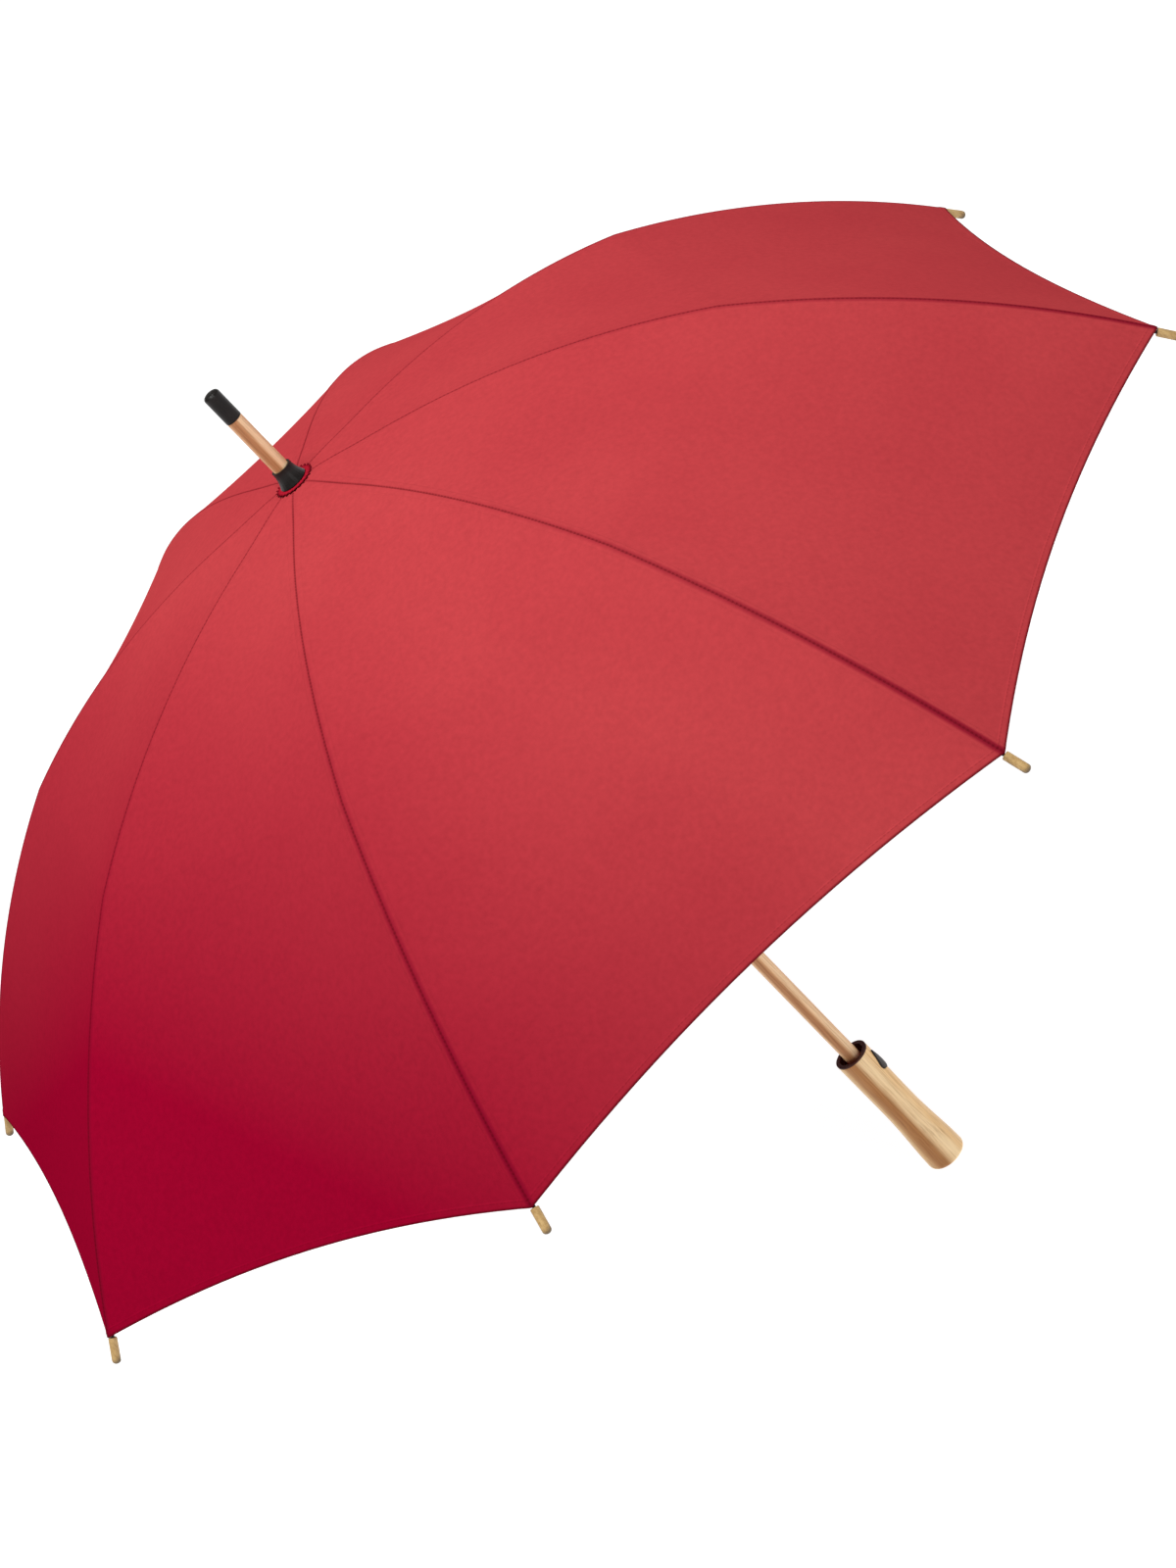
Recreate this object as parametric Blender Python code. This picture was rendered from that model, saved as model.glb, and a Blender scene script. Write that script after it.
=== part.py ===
"""Automatic stick umbrella with an eight-panel cloth canopy, shown open.

Metres, +Z up along the shaft, origin at the centre of the handle's end face.
Every rib is built in a frame of its own: +X away from the shaft, +Y along the
rib's hinge pins, +Z up. Each moving piece has its origin on its hinge axis.
"""

import math

import bmesh
import bpy
from mathutils import Matrix, Vector

# Overall sizes
RIB_COUNT = 8
FIRST_RIB_DEG = 22.5
HANDLE_LENGTH = 0.118
NOTCH_HEIGHT = 0.729
STEM_ABOVE_NOTCH = 0.068
INNER_RIB_LENGTH = 0.303
OUTER_RIB_LENGTH = 0.292

# Slopes of the open ribs below the horizontal, in degrees
ROOT_SLOPE = 0.5
INNER_END_SLOPE = 27.1
OUTER_START_SLOPE = 32.0
TIP_SLOPE = 52.0

# Clearances
GAP = 0.00035
PIN_GAP = 0.00035
ROD_END_GAP = 0.0009

# Shaft and handle
SHAFT_RADIUS = 0.0061
SHAFT_WALL = 0.0010
SHAFT_SEAT_HEIGHT = 0.020
HANDLE_TOP_RADIUS = 0.0135
HANDLE_WAIST_RADIUS = 0.0132
HANDLE_END_RADIUS = 0.0157
HANDLE_EDGE_ROUND = 0.0035
HANDLE_WALL = 0.0012
POCKET_DEPTH = 0.0255
RIM_THICKNESS = 0.0012
CUP_DEPTH = 0.0048
CUP_WALL = 0.0016

# Ferrule, caps and crown cloth
FERRULE_LENGTH = 0.0250
FERRULE_SPIGOT_LENGTH = 0.012
FERRULE_DOME_SHARE = 0.45
FERRULE_DOME_CURVE = 0.7
CAP_HEIGHT = 0.0125
CAP_FLARE_RADIUS = 0.0108
CAP_WALL = 0.0012
CAP_CURVE = 2.2
ROSETTE_RADIUS = 0.0150
ROSETTE_THICKNESS = 0.0010
ROSETTE_FOLDS = 16
ROSETTE_CRIMP = 0.0008

# Notch and runner
PIVOT_RADIUS = 0.0120
WIRE_RADIUS = 0.0006
HUB_RADIUS = 0.0133
HUB_HALF_HEIGHT = 0.0042
HUB_SLOT_INNER_RADIUS = 0.0096
RUNNER_TUBE_LENGTH = 0.0345
RUNNER_TUBE_WALL = 0.0014
STOP_HEIGHT = 0.0035
STOP_WALL = 0.0014

# Ribs and stretchers
ROD_RADIUS = 0.0016
ROD_TIP_RADIUS = 0.0012
EYE_WALL = 0.0008
EYE_THICKNESS = 0.0012
EYE_NECK_LENGTH = 0.0080
NECK_FLAT_END = 0.80
NECK_ROUND_START = 1.15
EYE_OVERSIZE = 1.02
CLIP_LENGTH = 0.0100
CLIP_WALL = 0.0010
CLIP_LIP_SHARE = 0.7
PIVOT_DROP = 0.0060
RIVET_RADIUS = 0.0008
LUG_RADIUS = 0.0019
FORK_RADIUS = 0.0021
FORK_CHEEK = 0.0007
FORK_WEB_START = 0.0027
FORK_LENGTH = 0.0070
FORK_WEB_HEIGHT_SHARE = 0.95
FORK_WEB_WIDTH_SHARE = 0.97
STRETCHER_RADIUS = 0.0015
TIP_RADIUS = 0.0031
TIP_LENGTH = 0.0185
TIP_BORE_DEPTH = 0.0100
TIP_MOUTH_SHARE = 0.88
TIP_MOUTH_LENGTH = 0.0009
TIP_ROUND_SHARE = 0.8

# Canopy cloth
CLOTH_THICKNESS = 0.0005
CLOTH_CLEARANCE = 0.0010
CROWN_RISE = 0.0031
CROWN_RISE_REACH = 0.030
SCALLOP_DEPTH = 0.016
PANEL_DIP = 0.0045
DIP_REACH = 0.5
CHORD_REACH = 1.0 / 6.0
SLOPE_STEP = 0.001

# Opening spring and its driver
SPRING_TURNS = 30
SPRING_WIRE_RADIUS = 0.0005
SPRING_CLEARANCE = 0.0006
DRIVER_BELOW_PIVOT = 0.020
DRIVER_HALF_LENGTH = 0.005
DRIVER_PIN_RADIUS = 0.0009
PLUG_HEIGHT = 0.008
SLOT_END_SPACE = 0.002
SLOT_DEG = 90.0

# Release button and catch
BUTTON_DEG = -22.5
BUTTON_TRAVEL = 0.0020
BUTTON_BULB_RADIUS = 0.0046
BUTTON_HEIGHT = 0.0187
BUTTON_PROUD = 0.0012
CATCH_THICKNESS = 0.0030
CATCH_WALL = 0.0015
TOOTH_HALF_WIDTH = 0.0011
LEAF_THICKNESS = 0.0003
LEAF_HALF_SPAN = 0.0050

# Folding: how far the main hinge turns from open to closed
FOLD_DEG = 70.0

# Facets
ROUND_SIDES = 24
HANDLE_SIDES = 32
ROD_SIDES = 8
TIP_SIDES = 10
WIRE_SIDES = 6
WIRE_STEPS = 24
ROD_STEPS = 7
PANEL_COLUMNS = 4
INNER_PANEL_ROWS = 9
OUTER_PANEL_ROWS = 6
ROW_CROWDING = 1.4
SPRING_STEPS = 7
SPRING_SIDES = 3
EYE_SIDES = 12
RIVET_SIDES = 10

TINY = 1e-9


# ---------------------------------------------------------------- materials


def make_material(name, colour, roughness, metallic=0.0):
    material = bpy.data.materials.new(name)
    material.use_nodes = True
    shader = material.node_tree.nodes["Principled BSDF"]
    shader.inputs["Base Color"].default_value = (*colour, 1.0)
    shader.inputs["Roughness"].default_value = roughness
    shader.inputs["Metallic"].default_value = metallic
    material.diffuse_color = (*colour, 1.0)
    return material


def make_materials():
    return {
        "red_cloth": make_material("red_cloth", (0.46, 0.030, 0.050), 0.75),
        "bamboo": make_material("bamboo", (0.66, 0.42, 0.20), 0.45),
        "tip_wood": make_material("tip_wood", (0.55, 0.38, 0.18), 0.50),
        "black_plastic": make_material("black_plastic", (0.012, 0.010, 0.009), 0.35),
        "brown_plastic": make_material("brown_plastic", (0.060, 0.015, 0.012), 0.45),
        "black_fibreglass": make_material("black_fibreglass", (0.02, 0.02, 0.02), 0.30),
        "black_steel": make_material("black_steel", (0.03, 0.03, 0.03), 0.35, 0.8),
        "steel": make_material("steel", (0.55, 0.55, 0.56), 0.28, 1.0),
    }


# ------------------------------------------------------------- mesh helpers


def add_ring(bm, points):
    return [bm.verts.new(point) for point in points]


def bridge(bm, first, second):
    """Quads between two rings with the same number of points."""
    count = len(first)
    for i in range(count):
        j = (i + 1) % count
        bm.faces.new((first[i], first[j], second[j], second[i]))


def fan(bm, ring, apex):
    for i in range(len(ring)):
        bm.faces.new((ring[i], ring[(i + 1) % len(ring)], apex))


def finish_mesh(bm, name):
    bmesh.ops.recalc_face_normals(bm, faces=bm.faces)
    mesh = bpy.data.meshes.new(name)
    bm.to_mesh(mesh)
    bm.free()
    mesh.shade_smooth()
    mesh.set_sharp_from_angle(angle=math.radians(35))
    return mesh


def turned(name, profile, sides=ROUND_SIDES, hollow=False):
    """Mesh turned about Z from (radius, height) points.

    A solid profile starts and ends on the axis. A hollow one is a closed outline
    that stays clear of the axis.
    """
    bm = bmesh.new()
    rings = []
    for radius, height in profile:
        if radius < TINY:
            rings.append([bm.verts.new((0, 0, height))])
            continue
        angles = [2 * math.pi * i / sides for i in range(sides)]
        rings.append(add_ring(bm, [(radius * math.cos(a), radius * math.sin(a), height) for a in angles]))
    pairs = list(zip(rings, rings[1:]))
    if hollow:
        pairs.append((rings[-1], rings[0]))
    for first, second in pairs:
        if len(first) == 1:
            fan(bm, second, first[0])
        elif len(second) == 1:
            fan(bm, first, second[0])
        else:
            bridge(bm, first, second)
    return finish_mesh(bm, name)


def prism(name, outline, low, high):
    """Mesh extruded along Z from an (x, y) outline."""
    bm = bmesh.new()
    bottom = add_ring(bm, [(x, y, low) for x, y in outline])
    top = add_ring(bm, [(x, y, high) for x, y in outline])
    bridge(bm, bottom, top)
    bm.faces.new(bottom)
    bm.faces.new(top)
    return finish_mesh(bm, name)


def box(name, low, high):
    outline = [(low[0], low[1]), (high[0], low[1]), (high[0], high[1]), (low[0], high[1])]
    return prism(name, outline, low[2], high[2])


def disc_across(name, centre, radius, low_y, high_y, sides=EYE_SIDES):
    """A short cylinder whose axis runs along Y, centred at (x, z)."""
    circle = [
        (radius * math.cos(2 * math.pi * i / sides), radius * math.sin(2 * math.pi * i / sides))
        for i in range(sides)
    ]
    mesh = prism(name, circle, low_y, high_y)
    # Turning +Z onto +Y takes the outline's (x, y) to (x, -z).
    mesh.transform(Matrix.Rotation(-math.pi / 2, 4, "X"))
    mesh.transform(Matrix.Translation((centre[0], 0, centre[1])))
    return mesh


def tab(name, radius, reach, low_y, high_y, steps=8):
    """A flat tab in the XZ plane, round about the origin and straight along +X to reach."""
    outline = [(reach, -radius), (reach, radius)]
    for i in range(steps + 1):
        angle = math.pi / 2 + math.pi * i / steps
        outline.append((radius * math.cos(angle), radius * math.sin(angle)))
    mesh = prism(name, outline, low_y, high_y)
    mesh.transform(Matrix.Rotation(-math.pi / 2, 4, "X"))
    return mesh


def swept(name, path, sizes, sides=ROD_SIDES):
    """A rod along (x, z, slope) points, with a (half width, half height) at each."""
    bm = bmesh.new()
    rings = []
    for (x, z, slope), (half_width, half_height) in zip(path, sizes):
        out = Vector((math.sin(slope), 0, math.cos(slope)))
        points = []
        for i in range(sides):
            angle = 2 * math.pi * (i + 0.5) / sides
            across = Vector((0, half_width * math.cos(angle), 0))
            points.append(Vector((x, 0, z)) + across + out * half_height * math.sin(angle))
        rings.append(add_ring(bm, points))
    for first, second in zip(rings, rings[1:]):
        bridge(bm, first, second)
    bm.faces.new(rings[0])
    bm.faces.new(rings[-1])
    return finish_mesh(bm, name)


def hoop(name, radius, wire_radius, height):
    """A closed ring of round wire about the shaft."""
    bm = bmesh.new()
    rings = []
    for i in range(WIRE_STEPS):
        turn = 2 * math.pi * i / WIRE_STEPS
        points = []
        for k in range(WIRE_SIDES):
            angle = 2 * math.pi * k / WIRE_SIDES
            reach = radius + wire_radius * math.cos(angle)
            rise = height + wire_radius * math.sin(angle)
            points.append((reach * math.cos(turn), reach * math.sin(turn), rise))
        rings.append(add_ring(bm, points))
    for first, second in zip(rings, rings[1:] + rings[:1]):
        bridge(bm, first, second)
    return finish_mesh(bm, name)


def combine(name, base, joined=(), cut=()):
    """The mesh of base with other meshes joined to it and then others cut from it."""
    obj = bpy.data.objects.new(name, base)
    bpy.context.scene.collection.objects.link(obj)
    helpers = []
    for operation, meshes in (("UNION", joined), ("DIFFERENCE", cut)):
        for mesh in meshes:
            helper = bpy.data.objects.new(name + "_helper", mesh)
            helper.hide_render = True
            helper.display_type = "WIRE"
            bpy.context.scene.collection.objects.link(helper)
            modifier = obj.modifiers.new(operation.title(), "BOOLEAN")
            modifier.operation = operation
            modifier.object = helper
            helpers.append(helper)
    bpy.context.view_layer.update()
    graph = bpy.context.evaluated_depsgraph_get()
    result = bpy.data.meshes.new_from_object(obj.evaluated_get(graph))
    result.name = name
    for helper in helpers + [obj]:
        bpy.data.objects.remove(helper)
    result.shade_smooth()
    result.set_sharp_from_angle(angle=math.radians(35))
    return result


def place(name, mesh, material, matrix=None):
    """An object of its own for one sub-part."""
    obj = bpy.data.objects.new(name, mesh)
    if not mesh.materials:
        mesh.materials.append(material)
    obj.matrix_world = matrix or Matrix.Identity(4)
    bpy.context.scene.collection.objects.link(obj)
    return obj


# ---------------------------------------------------------- rib arithmetic


def arc_point(length, start_deg, end_deg, share):
    """(x, z, slope) at a share of an arc that leaves the origin at start_deg."""
    start = math.radians(start_deg)
    bend = (math.radians(end_deg) - start) / length
    slope = start + bend * length * share
    x = (math.sin(slope) - math.sin(start)) / bend
    z = (math.cos(slope) - math.cos(start)) / bend
    return x, z, slope


def inner_point(share):
    x, z, slope = arc_point(INNER_RIB_LENGTH, ROOT_SLOPE, INNER_END_SLOPE, share)
    return PIVOT_RADIUS + x, NOTCH_HEIGHT + z, slope


def outer_point(share):
    start_x, start_z, _ = inner_point(1.0)
    x, z, slope = arc_point(OUTER_RIB_LENGTH, OUTER_START_SLOPE, TIP_SLOPE, share)
    return start_x + x, start_z + z, slope


def rib_point(arc):
    """(x, z, slope) of a rib's centre line at a distance along it from the notch."""
    if arc <= INNER_RIB_LENGTH:
        return inner_point(arc / INNER_RIB_LENGTH)
    return outer_point((arc - INNER_RIB_LENGTH) / OUTER_RIB_LENGTH)


def joint_place():
    """(x, z) of the rivet where a stretcher meets its rib."""
    x, z, slope = inner_point(1.0)
    return x - PIVOT_DROP * math.sin(slope), z - PIVOT_DROP * math.cos(slope)


def stretcher_length():
    x, z = joint_place()
    return math.hypot(x - PIVOT_RADIUS, NOTCH_HEIGHT - z)


def open_slope():
    x, z = joint_place()
    return math.atan2(NOTCH_HEIGHT - z, x - PIVOT_RADIUS)


def runner_height(fold=0.0):
    """Height of the runner's pivots when the ribs have turned down by fold radians."""
    return NOTCH_HEIGHT - 2 * stretcher_length() * math.sin(open_slope() + fold)


def rib_frame(index, x=0.0, z=0.0):
    """The frame of one rib, moved to (x, z) in it."""
    turn = math.radians(FIRST_RIB_DEG + 360.0 / RIB_COUNT * index)
    return Matrix.Rotation(turn, 4, "Z") @ Matrix.Translation((x, 0, z))


def crown_top():
    """Top face of the cloth beside the shaft."""
    return NOTCH_HEIGHT + ROD_RADIUS + CLOTH_CLEARANCE + CLOTH_THICKNESS + CROWN_RISE


# ------------------------------------------------------- shaft and handle


def shaft_top():
    return NOTCH_HEIGHT + STEM_ABOVE_NOTCH


def make_shaft(materials):
    inner = SHAFT_RADIUS - SHAFT_WALL
    low = SHAFT_SEAT_HEIGHT + GAP
    high = shaft_top()
    profile = [(SHAFT_RADIUS, high), (SHAFT_RADIUS, low), (inner, low), (inner, high)]
    tube = turned("shaft", profile, hollow=True)
    half_width = DRIVER_PIN_RADIUS + PIN_GAP
    slot = box(
        "slot",
        (inner - 2 * SHAFT_WALL, -half_width, driver_height(math.radians(FOLD_DEG)) - SLOT_END_SPACE),
        (SHAFT_RADIUS + SHAFT_WALL, half_width, driver_height() + SLOT_END_SPACE),
    )
    slot.transform(Matrix.Rotation(math.radians(SLOT_DEG), 4, "Z"))
    place("shaft", combine("shaft", tube, cut=[slot]), materials["bamboo"])


def handle_radius(height):
    """Straight grip with a slight waist in its upper half and a fuller end."""
    share = height / HANDLE_LENGTH
    if share > 0.5:
        blend = 0.5 - 0.5 * math.cos(math.pi * (share - 0.5) / 0.5)
        return HANDLE_WAIST_RADIUS + (HANDLE_TOP_RADIUS - HANDLE_WAIST_RADIUS) * blend
    blend = 0.5 + 0.5 * math.cos(math.pi * share / 0.5)
    return HANDLE_WAIST_RADIUS + (HANDLE_END_RADIUS - HANDLE_WAIST_RADIUS) * blend


def pocket_radius():
    return HANDLE_TOP_RADIUS - HANDLE_WALL


def pocket_floor():
    return HANDLE_LENGTH - POCKET_DEPTH


def handle_top():
    return HANDLE_LENGTH - RIM_THICKNESS


def make_handle(materials):
    edge = HANDLE_EDGE_ROUND
    profile = [(0, 0)]
    for i in range(5):
        angle = math.radians(90.0 * i / 4)
        reach = handle_radius(edge * (1 - math.cos(angle)))
        profile.append((reach - edge * (1 - math.sin(angle)), edge * (1 - math.cos(angle))))
    straight = 9
    for i in range(1, straight + 1):
        height = edge + (handle_top() - edge) * i / straight
        profile.append((handle_radius(height), height))
    profile.append((pocket_radius(), handle_top()))
    profile.append((pocket_radius(), pocket_floor()))
    profile.append((SHAFT_RADIUS + GAP, pocket_floor()))
    profile.append((SHAFT_RADIUS + GAP, SHAFT_SEAT_HEIGHT))
    profile.append((0, SHAFT_SEAT_HEIGHT))
    body = turned("handle", profile, HANDLE_SIDES)
    outside = HANDLE_TOP_RADIUS + 2 * BUTTON_PROUD
    window = teardrop("window", PIN_GAP, pocket_radius() - HANDLE_WALL, outside)
    place("handle", combine("handle", body, cut=[window]), materials["bamboo"])


def make_cup_liner(materials):
    outer = pocket_radius() - GAP
    inner = outer - CUP_WALL
    floor = HANDLE_LENGTH - CUP_DEPTH
    hole = runner_tube_radius() + 2 * GAP
    profile = [
        (handle_radius(HANDLE_LENGTH), HANDLE_LENGTH),
        (handle_radius(HANDLE_LENGTH), handle_top() + GAP),
        (outer, handle_top() + GAP),
        (outer, floor - CUP_WALL / 2),
        (hole, floor - CUP_WALL / 2),
        (hole, floor + CUP_WALL / 2),
        (inner, floor + CUP_WALL / 2),
        (inner, HANDLE_LENGTH),
    ]
    mesh = turned("cup_liner", profile, HANDLE_SIDES, hollow=True)
    place("cup_liner", mesh, materials["brown_plastic"])


# -------------------------------------------------- release button and catch


def button_bulb_height():
    """Height of the round part of the teardrop, just above the catch's floor."""
    return pocket_floor() + GAP + BUTTON_BULB_RADIUS + PIN_GAP


def teardrop(name, grow, inner, outer):
    """A teardrop block through the handle's wall, its point upwards, between two radii."""
    radius = BUTTON_BULB_RADIUS + grow
    reach = BUTTON_HEIGHT - BUTTON_BULB_RADIUS + 2 * grow
    lean = math.acos(radius / reach)
    steps = 14
    outline = [(0, reach)]
    for i in range(steps + 1):
        angle = math.pi / 2 + lean + (2 * math.pi - 2 * lean) * i / steps
        outline.append((radius * math.cos(angle), radius * math.sin(angle)))
    mesh = prism(name, outline, inner, outer)
    # The outline's X runs round the handle, its Y runs up, and its depth runs outwards.
    mesh.transform(Matrix(((0, 0, 1, 0), (1, 0, 0, 0), (0, 1, 0, 0), (0, 0, 0, 1))))
    turn = Matrix.Rotation(math.radians(BUTTON_DEG), 4, "Z")
    mesh.transform(turn @ Matrix.Translation((0, 0, button_bulb_height())))
    return mesh


def catch_outer_radius():
    return pocket_radius() - BUTTON_TRAVEL - GAP


def make_button(materials):
    inner = pocket_radius() + GAP / 2
    block = teardrop("release_button", 0.0, inner, HANDLE_TOP_RADIUS + 2 * BUTTON_PROUD)
    low = pocket_floor()
    radius = HANDLE_TOP_RADIUS + BUTTON_PROUD
    profile = [(0, low), (radius, low), (radius, HANDLE_LENGTH), (0, HANDLE_LENGTH)]
    skin = turned("skin", profile, HANDLE_SIDES)
    obj = bpy.data.objects.new("release_button", block)
    bpy.context.scene.collection.objects.link(obj)
    cutter = bpy.data.objects.new("button_face_helper", skin)
    cutter.hide_render = True
    cutter.display_type = "WIRE"
    bpy.context.scene.collection.objects.link(cutter)
    modifier = obj.modifiers.new("Face", "BOOLEAN")
    modifier.operation = "INTERSECT"
    modifier.object = cutter
    block.materials.append(materials["black_plastic"])


def oval(radius, reach, steps=32):
    """Points of a circle of this radius, its +X half, towards the button, moved out by reach."""
    points = []
    for i in range(steps):
        angle = 2 * math.pi * (i + 0.5) / steps
        shift = reach if math.cos(angle) > 0 else 0.0
        points.append((radius * math.cos(angle) + shift, radius * math.sin(angle)))
    return points


def make_catch(materials):
    low = pocket_floor() + GAP
    high = low + CATCH_THICKNESS
    outer = catch_outer_radius()
    inner = outer - CATCH_WALL
    bm = bmesh.new()
    rings = []
    for radius, height in ((outer, low), (outer, high), (inner, high), (inner, low)):
        rings.append(add_ring(bm, [(x, y, height) for x, y in oval(radius, BUTTON_TRAVEL)]))
    for first, second in zip(rings, rings[1:] + rings[:1]):
        bridge(bm, first, second)
    ring = finish_mesh(bm, "release_catch")
    tip = runner_tube_radius() - RUNNER_TUBE_WALL / 2
    tooth = box(
        "tooth",
        (-(inner + CATCH_WALL / 2), -TOOTH_HALF_WIDTH, low + CATCH_THICKNESS / 6),
        (-tip, TOOTH_HALF_WIDTH, high - CATCH_THICKNESS / 6),
    )
    mesh = combine("release_catch", ring, joined=[tooth])
    turn = Matrix.Rotation(math.radians(BUTTON_DEG), 4, "Z")
    place("release_catch", mesh, materials["steel"], turn)


def make_release_spring(materials):
    """A bowed leaf behind the catch: its middle on the pocket's wall, its ends on the catch."""
    middle = pocket_radius() - GAP - LEAF_THICKNESS / 2
    end_radius = catch_outer_radius() + GAP + LEAF_THICKNESS / 2
    end = math.sqrt(end_radius**2 - LEAF_HALF_SPAN**2)
    low = pocket_floor() + 2 * GAP
    steps = 10
    centre_line = []
    for i in range(steps + 1):
        share = 2 * i / steps - 1
        centre_line.append((-middle + (middle - end) * share**2, LEAF_HALF_SPAN * share))
    half = LEAF_THICKNESS / 2
    outline = [(x - half, y) for x, y in centre_line] + [(x + half, y) for x, y in reversed(centre_line)]
    mesh = prism("release_spring", outline, low, low + CATCH_THICKNESS - 2 * GAP)
    turn = Matrix.Rotation(math.radians(BUTTON_DEG), 4, "Z")
    place("release_spring", mesh, materials["steel"], turn)


# ------------------------------------------------------ notch and runner


def hub_cuts(height, low, high):
    """The wire's groove and the slots that the rib or stretcher eyes swing in."""
    wire_space = WIRE_RADIUS + PIN_GAP
    groove = turned(
        "groove",
        [
            (PIVOT_RADIUS - wire_space, height + wire_space),
            (PIVOT_RADIUS - wire_space, height - wire_space),
            (HUB_RADIUS + wire_space, height - wire_space),
            (HUB_RADIUS + wire_space, height + wire_space),
        ],
        WIRE_STEPS,
        hollow=True,
    )
    half_slot = EYE_THICKNESS / 2 + PIN_GAP
    bm = bmesh.new()
    for index in range(RIB_COUNT):
        slot = box(
            "slot",
            (HUB_SLOT_INNER_RADIUS, -half_slot, low),
            (HUB_RADIUS + wire_space, half_slot, high),
        )
        slot.transform(rib_frame(index))
        bm.from_mesh(slot)
    return [groove, finish_mesh(bm, "slots")]


def make_notch(materials):
    bore = SHAFT_RADIUS + GAP
    low = NOTCH_HEIGHT - HUB_HALF_HEIGHT
    high = NOTCH_HEIGHT + HUB_HALF_HEIGHT
    collar = low - 2 * HUB_HALF_HEIGHT
    collar_radius = (bore + HUB_SLOT_INNER_RADIUS) / 2
    profile = [
        (HUB_RADIUS, high),
        (HUB_RADIUS, low),
        (collar_radius, low),
        (collar_radius, collar),
        (bore, collar),
        (bore, high),
    ]
    body = turned("notch", profile, WIRE_STEPS, hollow=True)
    cuts = hub_cuts(NOTCH_HEIGHT, low - GAP, high + GAP)
    place("notch", combine("notch", body, cut=cuts), materials["black_plastic"])
    wire = hoop("notch_wire", PIVOT_RADIUS, WIRE_RADIUS, NOTCH_HEIGHT)
    place("notch_wire", wire, materials["steel"])


def runner_bore():
    return SHAFT_RADIUS + GAP


def runner_tube_radius():
    return runner_bore() + RUNNER_TUBE_WALL


def make_runner(materials):
    height = runner_height()
    low = height - HUB_HALF_HEIGHT
    high = height + HUB_HALF_HEIGHT
    tail = low - RUNNER_TUBE_LENGTH
    profile = [
        (HUB_RADIUS, high),
        (HUB_RADIUS, low),
        (runner_tube_radius(), low),
        (runner_tube_radius(), tail),
        (runner_bore(), tail),
        (runner_bore(), high),
    ]
    body = turned("runner", profile, WIRE_STEPS, hollow=True)
    cuts = hub_cuts(height, low - GAP, high + GAP)
    channel = box(
        "channel",
        (-runner_tube_radius() - GAP, -TOOTH_HALF_WIDTH - PIN_GAP, tail - GAP),
        (-runner_bore() + GAP, TOOTH_HALF_WIDTH + PIN_GAP, tail + 2 * CATCH_THICKNESS),
    )
    channel.transform(Matrix.Rotation(math.radians(BUTTON_DEG), 4, "Z"))
    pin_hole = driver_pin(PIN_GAP)
    pin_hole.transform(Matrix.Translation((0, 0, driver_height())))
    mesh = combine("runner", body, cut=cuts + [channel, pin_hole])
    place("runner", mesh, materials["black_plastic"])
    wire = hoop("runner_wire", PIVOT_RADIUS, WIRE_RADIUS, height)
    place("runner_wire", wire, materials["steel"])


def make_runner_stop(materials):
    low = runner_height() + HUB_HALF_HEIGHT + GAP
    bore = SHAFT_RADIUS + GAP
    outer = bore + STOP_WALL
    high = low + STOP_HEIGHT
    profile = [(outer, high), (outer, low), (bore, low), (bore, high)]
    place("runner_stop", turned("runner_stop", profile, hollow=True), materials["black_plastic"])


# ------------------------------------------------ opening spring and driver


def driver_height(fold=0.0):
    return runner_height(fold) - DRIVER_BELOW_PIVOT


def driver_pin(grow=0.0):
    """The pin that reaches out through the shaft's slot into the runner's tube."""
    start = 0.0 if grow == 0.0 else SHAFT_RADIUS
    past = -RUNNER_TUBE_WALL / 4 if grow == 0.0 else RUNNER_TUBE_WALL
    end = runner_tube_radius() + past
    pin = disc_across("driver_pin", (0, 0), DRIVER_PIN_RADIUS + grow, start, end)
    pin.transform(Matrix.Rotation(math.radians(SLOT_DEG - 90), 4, "Z"))
    return pin


def make_driver(materials):
    radius = SHAFT_RADIUS - SHAFT_WALL - GAP
    half = DRIVER_HALF_LENGTH
    profile = [(0, -half), (radius, -half), (radius, half), (0, half)]
    mesh = combine("spring_driver", turned("spring_driver", profile), joined=[driver_pin()])
    place("spring_driver", mesh, materials["steel"], Matrix.Translation((0, 0, driver_height())))


def plug_top():
    return SHAFT_SEAT_HEIGHT + GAP + PLUG_HEIGHT


def make_plug(materials):
    low = SHAFT_SEAT_HEIGHT + GAP
    radius = SHAFT_RADIUS - SHAFT_WALL - GAP
    profile = [(0, low), (radius, low), (radius, plug_top()), (0, plug_top())]
    place("spring_plug", turned("spring_plug", profile), materials["black_plastic"])


def make_opening_spring(materials):
    coil_radius = SHAFT_RADIUS - SHAFT_WALL - SPRING_CLEARANCE - SPRING_WIRE_RADIUS
    low = plug_top() + GAP + SPRING_WIRE_RADIUS
    high = driver_height() - DRIVER_HALF_LENGTH - GAP - SPRING_WIRE_RADIUS
    steps = SPRING_TURNS * SPRING_STEPS
    bm = bmesh.new()
    rings = []
    for i in range(steps + 1):
        turn = 2 * math.pi * i / SPRING_STEPS
        height = low + (high - low) * i / steps
        points = []
        for k in range(SPRING_SIDES):
            angle = 2 * math.pi * k / SPRING_SIDES
            reach = coil_radius + SPRING_WIRE_RADIUS * math.cos(angle)
            rise = height + SPRING_WIRE_RADIUS * math.sin(angle)
            points.append((reach * math.cos(turn), reach * math.sin(turn), rise))
        rings.append(add_ring(bm, points))
    for first, second in zip(rings, rings[1:]):
        bridge(bm, first, second)
    bm.faces.new(rings[0])
    bm.faces.new(rings[-1])
    place("opening_spring", finish_mesh(bm, "opening_spring"), materials["steel"])


# ------------------------------------------------------ ferrule and crown


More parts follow.
